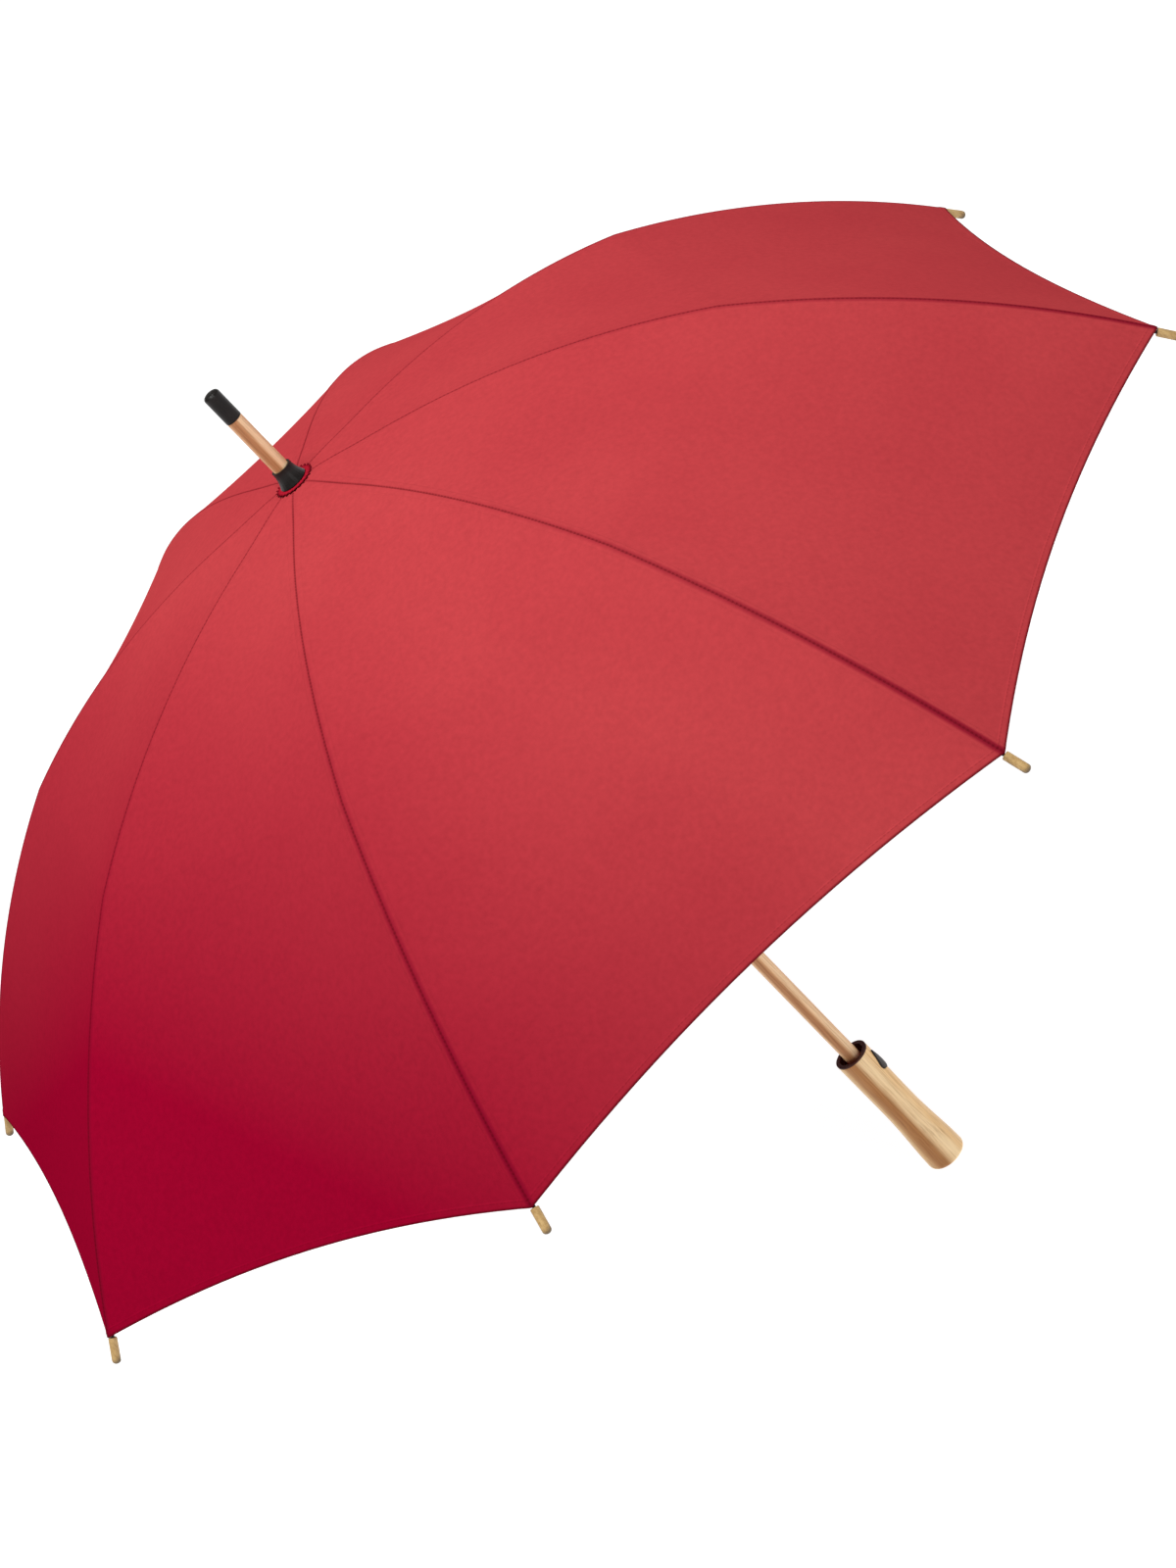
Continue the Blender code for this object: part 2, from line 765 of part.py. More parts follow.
def make_ferrule(materials):
    low = shaft_top() + GAP
    high = shaft_top() + FERRULE_LENGTH
    radius = SHAFT_RADIUS + GAP / 2
    spigot = SHAFT_RADIUS - SHAFT_WALL - GAP
    dome = radius * FERRULE_DOME_SHARE
    profile = [
        (0, low - FERRULE_SPIGOT_LENGTH),
        (spigot, low - FERRULE_SPIGOT_LENGTH),
        (spigot, low),
        (radius, low),
        (radius, high - dome),
    ]
    steps = 5
    for i in range(1, steps):
        angle = math.radians(90.0 * i / steps)
        reach = radius * math.cos(angle) ** FERRULE_DOME_CURVE
        profile.append((reach, high - dome * (1 - math.sin(angle))))
    profile.append((0, high))
    place("ferrule_cap", turned("ferrule_cap", profile), materials["black_plastic"])


def make_canopy_cap(materials):
    """A hollow bell over the crown cloth, concave outside, that grips the shaft at its top."""
    low = crown_top() + 2 * GAP + ROSETTE_THICKNESS
    bore = SHAFT_RADIUS + GAP
    neck = bore + CAP_WALL
    profile = []
    steps = 8
    for i in range(steps + 1):
        share = i / steps
        reach = neck + (CAP_FLARE_RADIUS - neck) * share**CAP_CURVE
        profile.append((reach, low + CAP_HEIGHT * (1 - share)))
    profile.append((bore, low))
    profile.append((bore, low + CAP_HEIGHT))
    place("canopy_cap", turned("canopy_cap", profile, hollow=True), materials["black_plastic"])


def make_rosette(materials):
    """A crimped disc of cloth that pads the cap against the canopy."""
    low = crown_top() + GAP
    high = low + ROSETTE_THICKNESS
    bore = SHAFT_RADIUS + GAP
    corners = (
        (ROSETTE_RADIUS, ROSETTE_CRIMP, low),
        (ROSETTE_RADIUS, ROSETTE_CRIMP, high),
        (bore, 0, high),
        (bore, 0, low),
    )
    bm = bmesh.new()
    rings = []
    for radius, crimp, height in corners:
        points = []
        for i in range(2 * ROSETTE_FOLDS):
            angle = math.pi * i / ROSETTE_FOLDS
            reach = radius - crimp * (i % 2)
            points.append((reach * math.cos(angle), reach * math.sin(angle), height))
        rings.append(add_ring(bm, points))
    for first, second in zip(rings, rings[1:] + rings[:1]):
        bridge(bm, first, second)
    place("rosette", finish_mesh(bm, "rosette"), materials["red_cloth"])


# ------------------------------------------------------------------ canopy


def cloth_point(arc):
    """(x, z) of the cloth's middle layer over a rib, at a distance along the rib."""
    lift = ROD_RADIUS + CLOTH_CLEARANCE + CLOTH_THICKNESS / 2
    rise = CROWN_RISE * math.exp(-((max(arc, 0.0) / CROWN_RISE_REACH) ** 2))
    if arc < 0:
        return PIVOT_RADIUS + arc, NOTCH_HEIGHT + lift + rise
    x, z, slope = rib_point(arc)
    return x + (lift + rise) * math.sin(slope), z + (lift + rise) * math.cos(slope)


def first_cloth_arc():
    """Where the cloth starts beside the shaft, as a distance along the rib."""
    return SHAFT_RADIUS + 2 * GAP - PIVOT_RADIUS


def panel_rows():
    """Shares from crown to hem, closer together at the crown, one of them at the rib joints."""
    first = first_cloth_arc()
    joint = (INNER_RIB_LENGTH - first) / (INNER_RIB_LENGTH + OUTER_RIB_LENGTH - first)
    inner = [joint * (i / INNER_PANEL_ROWS) ** ROW_CROWDING for i in range(INNER_PANEL_ROWS)]
    return inner + [joint + (1 - joint) * i / OUTER_PANEL_ROWS for i in range(OUTER_PANEL_ROWS + 1)]


def panel_point(row, column):
    """A point of one panel, in a frame whose X axis runs along the panel's middle.

    row is 0 at the crown and 1 at the hem, column is -1 and 1 at the two ribs.
    The hem is cut back in a shallow arch and the middle of the panel dips a little.
    """
    half_turn = math.pi / RIB_COUNT
    first = first_cloth_arc()
    total = INNER_RIB_LENGTH + OUTER_RIB_LENGTH
    middle = 1 - column**2
    arc = first + (total - first) * row - SCALLOP_DEPTH * middle * row**3
    x, z = cloth_point(arc)
    ahead_x, ahead_z = cloth_point(arc + SLOPE_STEP)
    slope = math.atan2(z - ahead_z, ahead_x - x)
    dip = PANEL_DIP * middle * min(1.0, row / DIP_REACH)
    # Near the shaft the cloth follows the hole's circle, further out the straight chord.
    chord = min(1.0, row / CHORD_REACH)
    angle = column * half_turn
    flat_x = x * math.cos(half_turn)
    flat_y = x * math.sin(half_turn) * column
    round_x = x * math.cos(angle)
    round_y = x * math.sin(angle)
    px = flat_x * chord + round_x * (1 - chord)
    py = flat_y * chord + round_y * (1 - chord)
    return Vector((px - dip * math.sin(slope), py, z - dip * math.cos(slope)))


def make_canopy(materials):
    bm = bmesh.new()
    rows = []
    for row in panel_rows():
        ring = []
        for panel in range(RIB_COUNT):
            turn = math.radians(FIRST_RIB_DEG) + 2 * math.pi * (panel + 0.5) / RIB_COUNT
            rotation = Matrix.Rotation(turn, 3, "Z")
            for c in range(PANEL_COLUMNS):
                column = 2 * c / PANEL_COLUMNS - 1
                ring.append(rotation @ panel_point(row, column))
        rows.append(add_ring(bm, ring))
    for first, second in zip(rows, rows[1:]):
        bridge(bm, first, second)
    obj = place("canopy", finish_mesh(bm, "canopy"), materials["red_cloth"])
    thicken = obj.modifiers.new("Cloth thickness", "SOLIDIFY")
    thicken.thickness = CLOTH_THICKNESS
    thicken.offset = 0.0


# ------------------------------------------------------ ribs and stretchers


def eye_radius():
    return WIRE_RADIUS + PIN_GAP + EYE_WALL


def neck_sizes(path_length, shares, rod_radius):
    """Half width and half height along a rod that starts as a flat neck at its eye."""
    sizes = []
    for share in shares:
        if share * path_length < EYE_NECK_LENGTH:
            sizes.append((EYE_THICKNESS / 2, eye_radius()))
        else:
            sizes.append((rod_radius, rod_radius))
    return sizes


def eye_cut(name):
    return disc_across(name, (0, 0), WIRE_RADIUS + PIN_GAP, -EYE_THICKNESS, EYE_THICKNESS)


def make_inner_rib_mesh():
    """Flat eye and neck on the notch's wire, then a round rod that ends inside the clip."""
    end = 1 - ROD_END_GAP / INNER_RIB_LENGTH
    flat_end = NECK_FLAT_END * EYE_NECK_LENGTH / INNER_RIB_LENGTH
    round_start = NECK_ROUND_START * EYE_NECK_LENGTH / INNER_RIB_LENGTH
    shares = [0.0, flat_end, round_start]
    shares += [round_start + (end - round_start) * i / ROD_STEPS for i in range(1, ROD_STEPS + 1)]
    path = [arc_point(INNER_RIB_LENGTH, ROOT_SLOPE, INNER_END_SLOPE, share) for share in shares]
    rod = swept("rod", path, neck_sizes(INNER_RIB_LENGTH, shares, ROD_RADIUS))
    half = EYE_THICKNESS / 2
    eye = disc_across("eye", (0, 0), eye_radius() * EYE_OVERSIZE, -half, half)
    return combine("rib_inner", rod, joined=[eye], cut=[eye_cut("eye_hole")])


def make_outer_rib_mesh():
    start = ROD_END_GAP / OUTER_RIB_LENGTH
    end = 1 + (TIP_BORE_DEPTH - 2 * GAP) / OUTER_RIB_LENGTH
    shares = [start + (end - start) * i / ROD_STEPS for i in range(ROD_STEPS + 1)]
    path = [arc_point(OUTER_RIB_LENGTH, OUTER_START_SLOPE, TIP_SLOPE, share) for share in shares]
    taper = [ROD_RADIUS + (ROD_TIP_RADIUS - ROD_RADIUS) * share for share in shares]
    return swept("rib_outer", path, [(radius, radius) for radius in taper])


def make_clip_mesh():
    """A channel under the rod's joint with a lug and a rivet for the stretcher.

    Its origin is on the rod's centre line at the joint, its X axis along the rod.
    """
    inner = ROD_RADIUS + GAP
    outer = inner + CLIP_WALL
    top = ROD_RADIUS * CLIP_LIP_SHARE
    kink = math.radians(OUTER_START_SLOPE - INNER_END_SLOPE)
    floor = -(inner + CLIP_LENGTH / 2 * math.sin(kink))
    low = floor - CLIP_WALL
    outline = [
        (-outer, top),
        (-outer, low),
        (outer, low),
        (outer, top),
        (inner, top),
        (inner, floor),
        (-inner, floor),
        (-inner, top),
    ]
    channel = prism("channel", outline, -CLIP_LENGTH / 2, CLIP_LENGTH / 2)
    # The outline's X runs across the rod, its Y away from the lug, and its depth along the rod.
    channel.transform(Matrix(((0, 0, 1, 0), (1, 0, 0, 0), (0, 1, 0, 0), (0, 0, 0, 1))))
    half = EYE_THICKNESS / 2
    lug = tab("lug", LUG_RADIUS, PIVOT_DROP + floor - CLIP_WALL / 2, -half, half)
    lug.transform(Matrix.Translation((0, 0, -PIVOT_DROP)) @ Matrix.Rotation(-math.pi / 2, 4, "Y"))
    reach = half + PIN_GAP + FORK_CHEEK + PIN_GAP
    rivet = disc_across("rivet", (0, -PIVOT_DROP), RIVET_RADIUS, -reach, reach, RIVET_SIDES)
    mesh = combine("rib_joint", channel, joined=[lug, rivet])
    mesh.transform(Matrix.Rotation(math.radians(INNER_END_SLOPE), 4, "Y"))
    return mesh


def make_stretcher_mesh():
    """Fork on the rib's rivet at the origin, rod along -X, eye on the runner's wire."""
    length = stretcher_length()
    half = EYE_THICKNESS / 2
    inside = half + PIN_GAP
    outside = inside + FORK_CHEEK
    cheeks = []
    for side in (-1, 1):
        low, high = sorted((side * inside, side * outside))
        cheek = tab("cheek", FORK_RADIUS, FORK_WEB_START + FORK_CHEEK, low, high)
        cheek.transform(Matrix.Rotation(math.pi, 4, "Y"))
        cheeks.append(cheek)
    web_height = FORK_RADIUS * FORK_WEB_HEIGHT_SHARE
    web_width = outside * FORK_WEB_WIDTH_SHARE
    web = box("web", (-FORK_LENGTH, -web_width, -web_height), (-FORK_WEB_START, web_width, web_height))
    rod_start = (FORK_WEB_START + FORK_LENGTH) / 2
    round_end = length - EYE_NECK_LENGTH * NECK_ROUND_START
    flat_start = length - EYE_NECK_LENGTH * NECK_FLAT_END
    path = [(-x, 0, 0) for x in (rod_start, round_end, flat_start, length)]
    sizes = [(STRETCHER_RADIUS, STRETCHER_RADIUS * EYE_OVERSIZE)] * 2 + [(half, eye_radius())] * 2
    rod = swept("rod", path, sizes)
    eye = disc_across("eye", (-length, 0), eye_radius() * EYE_OVERSIZE, -half, half)
    hole_radius = RIVET_RADIUS + PIN_GAP
    rivet_hole = disc_across("rivet_hole", (0, 0), hole_radius, -2 * outside, 2 * outside, RIVET_SIDES)
    wire_hole = eye_cut("wire_hole")
    wire_hole.transform(Matrix.Translation((-length, 0, 0)))
    mesh = combine("stretcher", web, joined=cheeks + [rod, eye], cut=[rivet_hole, wire_hole])
    mesh.transform(Matrix.Rotation(-open_slope(), 4, "Y"))
    return mesh


def make_tip_mesh():
    """A round-ended wooden cap on the rib's end. Its X axis runs along the rib."""
    bore = ROD_TIP_RADIUS + GAP
    round_end = TIP_RADIUS * TIP_ROUND_SHARE
    profile = [
        (0, TIP_BORE_DEPTH),
        (bore, TIP_BORE_DEPTH),
        (bore, GAP),
        (TIP_RADIUS * TIP_MOUTH_SHARE, GAP),
        (TIP_RADIUS, TIP_MOUTH_LENGTH),
        (TIP_RADIUS, TIP_LENGTH - round_end),
    ]
    steps = 4
    for i in range(1, steps):
        angle = math.radians(90.0 * i / steps)
        height = TIP_LENGTH - round_end * (1 - math.sin(angle))
        profile.append((TIP_RADIUS * math.cos(angle), height))
    profile.append((0, TIP_LENGTH))
    mesh = turned("rib_tip", profile, TIP_SIDES)
    mesh.transform(Matrix.Rotation(math.pi / 2 + math.radians(TIP_SLOPE), 4, "Y"))
    return mesh


def make_ribs(materials):
    inner = make_inner_rib_mesh()
    clip = make_clip_mesh()
    outer = make_outer_rib_mesh()
    tip = make_tip_mesh()
    stretcher = make_stretcher_mesh()
    joint_x, joint_z, _ = inner_point(1.0)
    rivet_x, rivet_z = joint_place()
    tip_x, tip_z, _ = outer_point(1.0)
    for index in range(RIB_COUNT):
        number = index + 1
        notch_hinge = rib_frame(index, PIVOT_RADIUS, NOTCH_HEIGHT)
        joint_hinge = rib_frame(index, joint_x, joint_z)
        place(f"rib_{number}_inner", inner, materials["black_fibreglass"], notch_hinge)
        place(f"rib_{number}_joint", clip, materials["black_steel"], joint_hinge)
        place(f"rib_{number}_outer", outer, materials["black_fibreglass"], joint_hinge)
        place(f"rib_{number}_tip", tip, materials["tip_wood"], rib_frame(index, tip_x, tip_z))
        rivet = rib_frame(index, rivet_x, rivet_z)
        place(f"stretcher_{number}", stretcher, materials["black_steel"], rivet)


def main():
    for obj in list(bpy.data.objects):
        bpy.data.objects.remove(obj)
    materials = make_materials()
    make_handle(materials)
    make_cup_liner(materials)
    make_button(materials)
    make_catch(materials)
    make_release_spring(materials)
    make_shaft(materials)
    make_plug(materials)
    make_opening_spring(materials)
    make_driver(materials)
    make_runner(materials)
    make_runner_stop(materials)
    make_notch(materials)
    make_ribs(materials)
    make_canopy(materials)
    make_rosette(materials)
    make_canopy_cap(materials)
    make_ferrule(materials)
    bpy.context.view_layer.update()


main()
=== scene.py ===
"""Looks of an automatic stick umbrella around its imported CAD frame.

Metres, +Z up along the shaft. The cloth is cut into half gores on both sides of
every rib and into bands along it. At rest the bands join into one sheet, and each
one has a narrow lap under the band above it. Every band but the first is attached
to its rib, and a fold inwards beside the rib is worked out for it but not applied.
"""

import math

import bpy
import numpy as np
from mathutils import Matrix, Vector


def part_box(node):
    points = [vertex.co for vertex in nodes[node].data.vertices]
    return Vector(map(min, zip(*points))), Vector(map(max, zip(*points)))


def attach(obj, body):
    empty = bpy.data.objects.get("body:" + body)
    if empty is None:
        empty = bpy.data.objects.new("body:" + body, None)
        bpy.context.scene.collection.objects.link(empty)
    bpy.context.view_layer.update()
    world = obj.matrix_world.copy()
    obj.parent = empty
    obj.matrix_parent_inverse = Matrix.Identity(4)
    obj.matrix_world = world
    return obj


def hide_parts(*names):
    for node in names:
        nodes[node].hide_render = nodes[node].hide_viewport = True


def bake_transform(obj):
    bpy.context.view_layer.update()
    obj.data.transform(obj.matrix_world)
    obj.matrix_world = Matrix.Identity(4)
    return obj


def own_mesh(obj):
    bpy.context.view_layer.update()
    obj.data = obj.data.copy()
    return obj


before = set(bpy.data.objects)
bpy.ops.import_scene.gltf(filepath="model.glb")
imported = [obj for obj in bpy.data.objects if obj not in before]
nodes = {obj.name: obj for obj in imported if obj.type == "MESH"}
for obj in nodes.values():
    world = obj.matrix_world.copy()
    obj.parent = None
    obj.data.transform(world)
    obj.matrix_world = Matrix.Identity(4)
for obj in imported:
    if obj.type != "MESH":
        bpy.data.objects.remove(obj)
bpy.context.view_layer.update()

# Sizes shared with the CAD
RIB_COUNT = 8
FIRST_RIB_DEG = 22.5
HALF_TURN = math.pi / RIB_COUNT
NOTCH_HEIGHT = 0.729
PIVOT_RADIUS = 0.0120
SHAFT_RADIUS = 0.0061
INNER_RIB_LENGTH = 0.303
OUTER_RIB_LENGTH = 0.292
ROOT_SLOPE = 0.5
INNER_END_SLOPE = 27.1
OUTER_START_SLOPE = 32.0
TIP_SLOPE = 52.0
ROD_RADIUS = 0.0016
CLOTH_THICKNESS = 0.0005
CLOTH_CLEARANCE = 0.0010
CROWN_RISE = 0.0031
CROWN_RISE_REACH = 0.030
SCALLOP_DEPTH = 0.016
PANEL_DIP = 0.0045
PANEL_DIP_FULL_ROW = 0.55
CHORD_FULL_ROW = 0.20
JOINT_EASE = 0.020
GAP = 0.00035
FOLD_DEG = 70.0
FLEX_DEG = -17.5
BUTTON_BEARING_DEG = -22.5
TOTAL_RIB_LENGTH = INNER_RIB_LENGTH + OUTER_RIB_LENGTH

# Cloth detail: the seam over each rib and the turned hem
SEAM_GROOVE_HALF = 0.0007
SEAM_GROOVE_DEPTH = 0.0006
SEAM_BAND = 0.0052
SEAM_RISE = 0.00035
SEAM_FADE_ROWS = (0.02, 0.06)
HEM_WIDTH = 0.0065
HEM_RISE = 0.00030
EDGE_FADE = 0.0012
HEM_FIRST_ROW = HEM_WIDTH + 0.0023
HEM_ROWS = (HEM_WIDTH + 0.0003, HEM_WIDTH - 0.0006, HEM_WIDTH - 0.0014, 0.0030, 0.0006, 0.0)

# Bands: where each one ends along the rib, and how it folds when the umbrella shuts
INNER_BAND_ENDS = (0.006, 0.013, 0.024, 0.045, 0.100, 0.165, 0.235, INNER_RIB_LENGTH)
OUTER_BAND_ENDS = (0.360, 0.415, 0.468, 0.520, TOTAL_RIB_LENGTH)
CROWN_TILT = 30.0
FOLD_TILT = 42.0
FOLD_TILT_REACH = 0.100
FOLD_OVERLAP = 0.0008
FOLD_FIRST_SHARE = 0.04
FOLD_SHARE_STEP = 0.004
FOLD_SHARE_LIMIT = 0.93
SMALLEST_KEEP = 0.01

# Laps: the strip of each band that lies under the band above it
LAP_SINK = 0.0006
LAP_STEP = 0.0003
LAP_AT_RIB = 0.0009
LAP_AWAY = 0.0050
LAP_GROWTH = (0.004, 0.016)

# The rows and columns of points on the cloth
CUT_SEARCH_BEFORE = 0.01
CUT_SEARCH_AFTER = 0.16
CUT_SEARCH_STEPS = 20
ROW_STEP = 0.008
RIB_SIDE_COLUMNS = (0.0, 0.0003, 0.0007, 0.0011, 0.0022, 0.0042, 0.0054, 0.0066, 0.0110)
RIB_SIDE_SHARE = 0.35
OPEN_COLUMNS = 11
NORMAL_SIDE_STEP = 0.00025

# Threads in the look of the cloth
STITCH_PITCH = 0.0030
THREAD_PITCH = 0.0007
HEM_STITCH_LINE = 0.0052

# Camera
CAMERA_PLACE = (0.02947723, -3.06138459, 1.83243925)
CAMERA_AZIMUTH = 0.554
CAMERA_ELEVATION = 24.7476
CAMERA_ROLL = 44.1528
CAMERA_LENS = 109.97
CAMERA_SENSOR = 36.0
CAMERA_NEAR = 0.05
CAMERA_FAR = 60.0

# A dim studio that is brighter on one side, with a white floor
WORLD_BRIGHT_SIDE = (0.30, -0.20, 0.93)
WORLD_SPREAD = (-0.30, 1.00)
WORLD_STRENGTH = (0.05, 0.30)
FLOOR_RADIUS = 20.0
FLOOR_WALL = 4.5
FLOOR_SIDES = 48
FLOOR_COLOUR = (0.25, 0.25, 0.25, 1.0)
FLOOR_GLOW = 0.96


# ---------------------------------------------------------------- node helpers


class Shader:
    """A Principled material and short calls to add nodes to it."""

    def __init__(self, name, roughness=0.5, metallic=0.0):
        self.material = bpy.data.materials.new(name)
        self.material.use_nodes = True
        self.tree = self.material.node_tree
        self.main = self.tree.nodes["Principled BSDF"]
        self.main.inputs["Roughness"].default_value = roughness
        self.main.inputs["Metallic"].default_value = metallic

    def node(self, kind, **settings):
        made = self.tree.nodes.new(kind)
        for key, value in settings.items():
            setattr(made, key, value)
        return made

    def link(self, source, target):
        self.tree.links.new(source, target)

    def feed(self, name, source):
        """Link a source to a socket of the main shader."""
        self.link(source, self.main.inputs[name])

    def set(self, **values):
        """Set sockets of the main shader, with _ for each space in a name."""
        for key, value in values.items():
            self.main.inputs[key.replace("_", " ")].default_value = value

    def place(self, scale=(1, 1, 1)):
        """Object coordinates, scaled."""
        coordinates = self.node("ShaderNodeTexCoord")
        mapping = self.node("ShaderNodeMapping")
        mapping.inputs["Scale"].default_value = scale
        self.link(coordinates.outputs["Object"], mapping.inputs["Vector"])
        return mapping.outputs["Vector"]

    def noise(self, vector, scale, detail=4.0, roughness=0.55):
        made = self.node("ShaderNodeTexNoise")
        made.inputs["Scale"].default_value = scale
        made.inputs["Detail"].default_value = detail
        made.inputs["Roughness"].default_value = roughness
        self.link(vector, made.inputs["Vector"])
        return made.outputs["Fac"]

    def ramp(self, factor, stops):
        made = self.node("ShaderNodeValToRGB")
        elements = made.color_ramp.elements
        while len(elements) < len(stops):
            elements.new(0.5)
        for element, (position, colour) in zip(elements, stops):
            element.position = position
            element.color = (*colour, 1.0)
        self.link(factor, made.inputs["Fac"])
        return made.outputs["Color"]

    def scale_range(self, factor, low, high, from_low=0.0, from_high=1.0):
        made = self.node("ShaderNodeMapRange")
        made.inputs["From Min"].default_value = from_low
        made.inputs["From Max"].default_value = from_high
        made.inputs["To Min"].default_value = low
        made.inputs["To Max"].default_value = high
        self.link(factor, made.inputs["Value"])
        return made.outputs["Result"]

    def mix(self, factor, first, second, blend="MIX"):
        made = self.node("ShaderNodeMix", data_type="RGBA", blend_type=blend)
        sockets = {socket.identifier: socket for socket in [*made.inputs, *made.outputs]}
        if isinstance(factor, float):
            sockets["Factor_Float"].default_value = factor
        else:
            self.link(factor, sockets["Factor_Float"])
        for value, target in ((first, sockets["A_Color"]), (second, sockets["B_Color"])):
            if isinstance(value, tuple):
                target.default_value = (*value, 1.0)
            else:
                self.link(value, target)
        return sockets["Result_Color"]

    def math(self, operation, first, second=0.0):
        made = self.node("ShaderNodeMath", operation=operation)
        for value, target in ((first, made.inputs[0]), (second, made.inputs[1])):
            if isinstance(value, (int, float)):
                target.default_value = value
            else:
                self.link(value, target)
        return made.outputs[0]

    def wave(self, value, pitch):
        """A sine that repeats after every pitch."""
        return self.math("SINE", self.math("MULTIPLY", value, 2 * math.pi / pitch))

    def vector_math(self, operation, vector, other=None):
        made = self.node("ShaderNodeVectorMath", operation=operation)
        self.link(vector, made.inputs[0])
        if other is not None:
            made.inputs[1].default_value = other
        return made.outputs["Value" if operation == "DOT_PRODUCT" else "Vector"]

    def split(self, vector):
        """The X, Y and Z outputs of a vector."""
        made = self.node("ShaderNodeSeparateXYZ")
        self.link(vector, made.inputs["Vector"])
        return made.outputs

    def attribute(self, name):
        made = self.node("ShaderNodeAttribute", attribute_name=name)
        return made.outputs["Fac"]

    def bump(self, height, strength, distance, before=None):
        made = self.node("ShaderNodeBump")
        made.inputs["Strength"].default_value = strength
        made.inputs["Distance"].default_value = distance
        self.link(height, made.inputs["Height"])
        if before is not None:
            self.link(before, made.inputs["Normal"])
        self.feed("Normal", made.outputs["Normal"])
        return made.outputs["Normal"]


def moulded(name, dark, light, roughness, grain=900.0, strength=0.25):
    """Moulded plastic or lacquer: a fine spark-eroded grain and slight wear."""
    made = Shader(name, roughness)
    vector = made.place()
    patches = made.noise(vector, 60.0, 5.0)
    made.feed("Base Color", made.ramp(patches, [(0.35, dark), (0.7, light)]))
    made.feed("Roughness", made.scale_range(patches, roughness - 0.08, roughness + 0.12))
    made.set(Specular_IOR_Level=0.22)
    made.bump(made.noise(vector, grain, 3.0), strength, 0.0001)
    return made.material


def metal(name, dark, light, roughness, metallic=1.0):
    """Drawn or turned metal with fine scratches and dull patches."""
    made = Shader(name, roughness, metallic)
    vector = made.place()
    patches = made.noise(vector, 140.0, 6.0)
    made.feed("Base Color", made.ramp(patches, [(0.3, dark), (0.7, light)]))
    made.feed("Roughness", made.scale_range(patches, roughness - 0.06, roughness + 0.15))
    made.bump(made.noise(made.place((400, 400, 4000)), 1.0, 2.0), 0.15, 0.00005)
    return made.material


def bamboo(name, light, middle, dark, shade_and_highlight_strips=(), gloss=0.35, dark_end=None):
    """Lacquered bamboo or wood with its fibres along Z.

    A strip is (bearing, tint, strength, low, high): painted shade or a painted highlight along the
    cane, on the side that faces the bearing.
    A dark end is (tint, low, high): full at low, gone at high.
    """
    made = Shader(name, gloss)
    fibres = made.noise(made.place((1, 1, 0.035)), 900.0, 6.0, 0.6)
    bands = made.noise(made.place((1, 1, 0.05)), 170.0, 4.0, 0.5)
    clouds = made.noise(made.place((1, 1, 0.4)), 45.0, 3.0, 0.5)
    base = made.ramp(bands, [(0.30, dark), (0.48, middle), (0.66, light)])
    cloud = made.ramp(clouds, [(0.35, middle), (0.65, light)])
    colour = made.mix(0.45, base, cloud)
    wander = made.scale_range(bands, -0.05, 0.05)
    for bearing, tint, strength, low, high in shade_and_highlight_strips:
        angle = math.radians(bearing)
        outwards = (math.cos(angle), math.sin(angle), 0.0)
        level = made.vector_math("MULTIPLY", made.place(), (1.0, 1.0, 0.0))
        unit = made.vector_math("NORMALIZE", level)
        facing = made.vector_math("DOT_PRODUCT", unit, outwards)
        near = made.math("ADD", facing, wander)
        colour = made.mix(made.scale_range(near, 0.0, strength, low, high), colour, tint)
    darker = made.ramp(fibres, [(0.32, (0.55, 0.45, 0.36)), (0.55, (1, 1, 1))])
    colour = made.mix(0.60, colour, darker, "MULTIPLY")
    if dark_end is not None:
        # The lower end is dipped in a darker stain.
        tint, low, high = dark_end
        share = made.scale_range(made.split(made.place())["Z"], 0.9, 0.0, low, high)
        colour = made.mix(share, colour, tint)
    made.feed("Base Color", colour)
    made.feed("Roughness", made.scale_range(fibres, gloss - 0.08, gloss + 0.15))
    made.set(Coat_Weight=0.06, Coat_Roughness=0.22, Specular_IOR_Level=0.18)
    made.bump(fibres, 0.25, 0.0002)
    return made.material


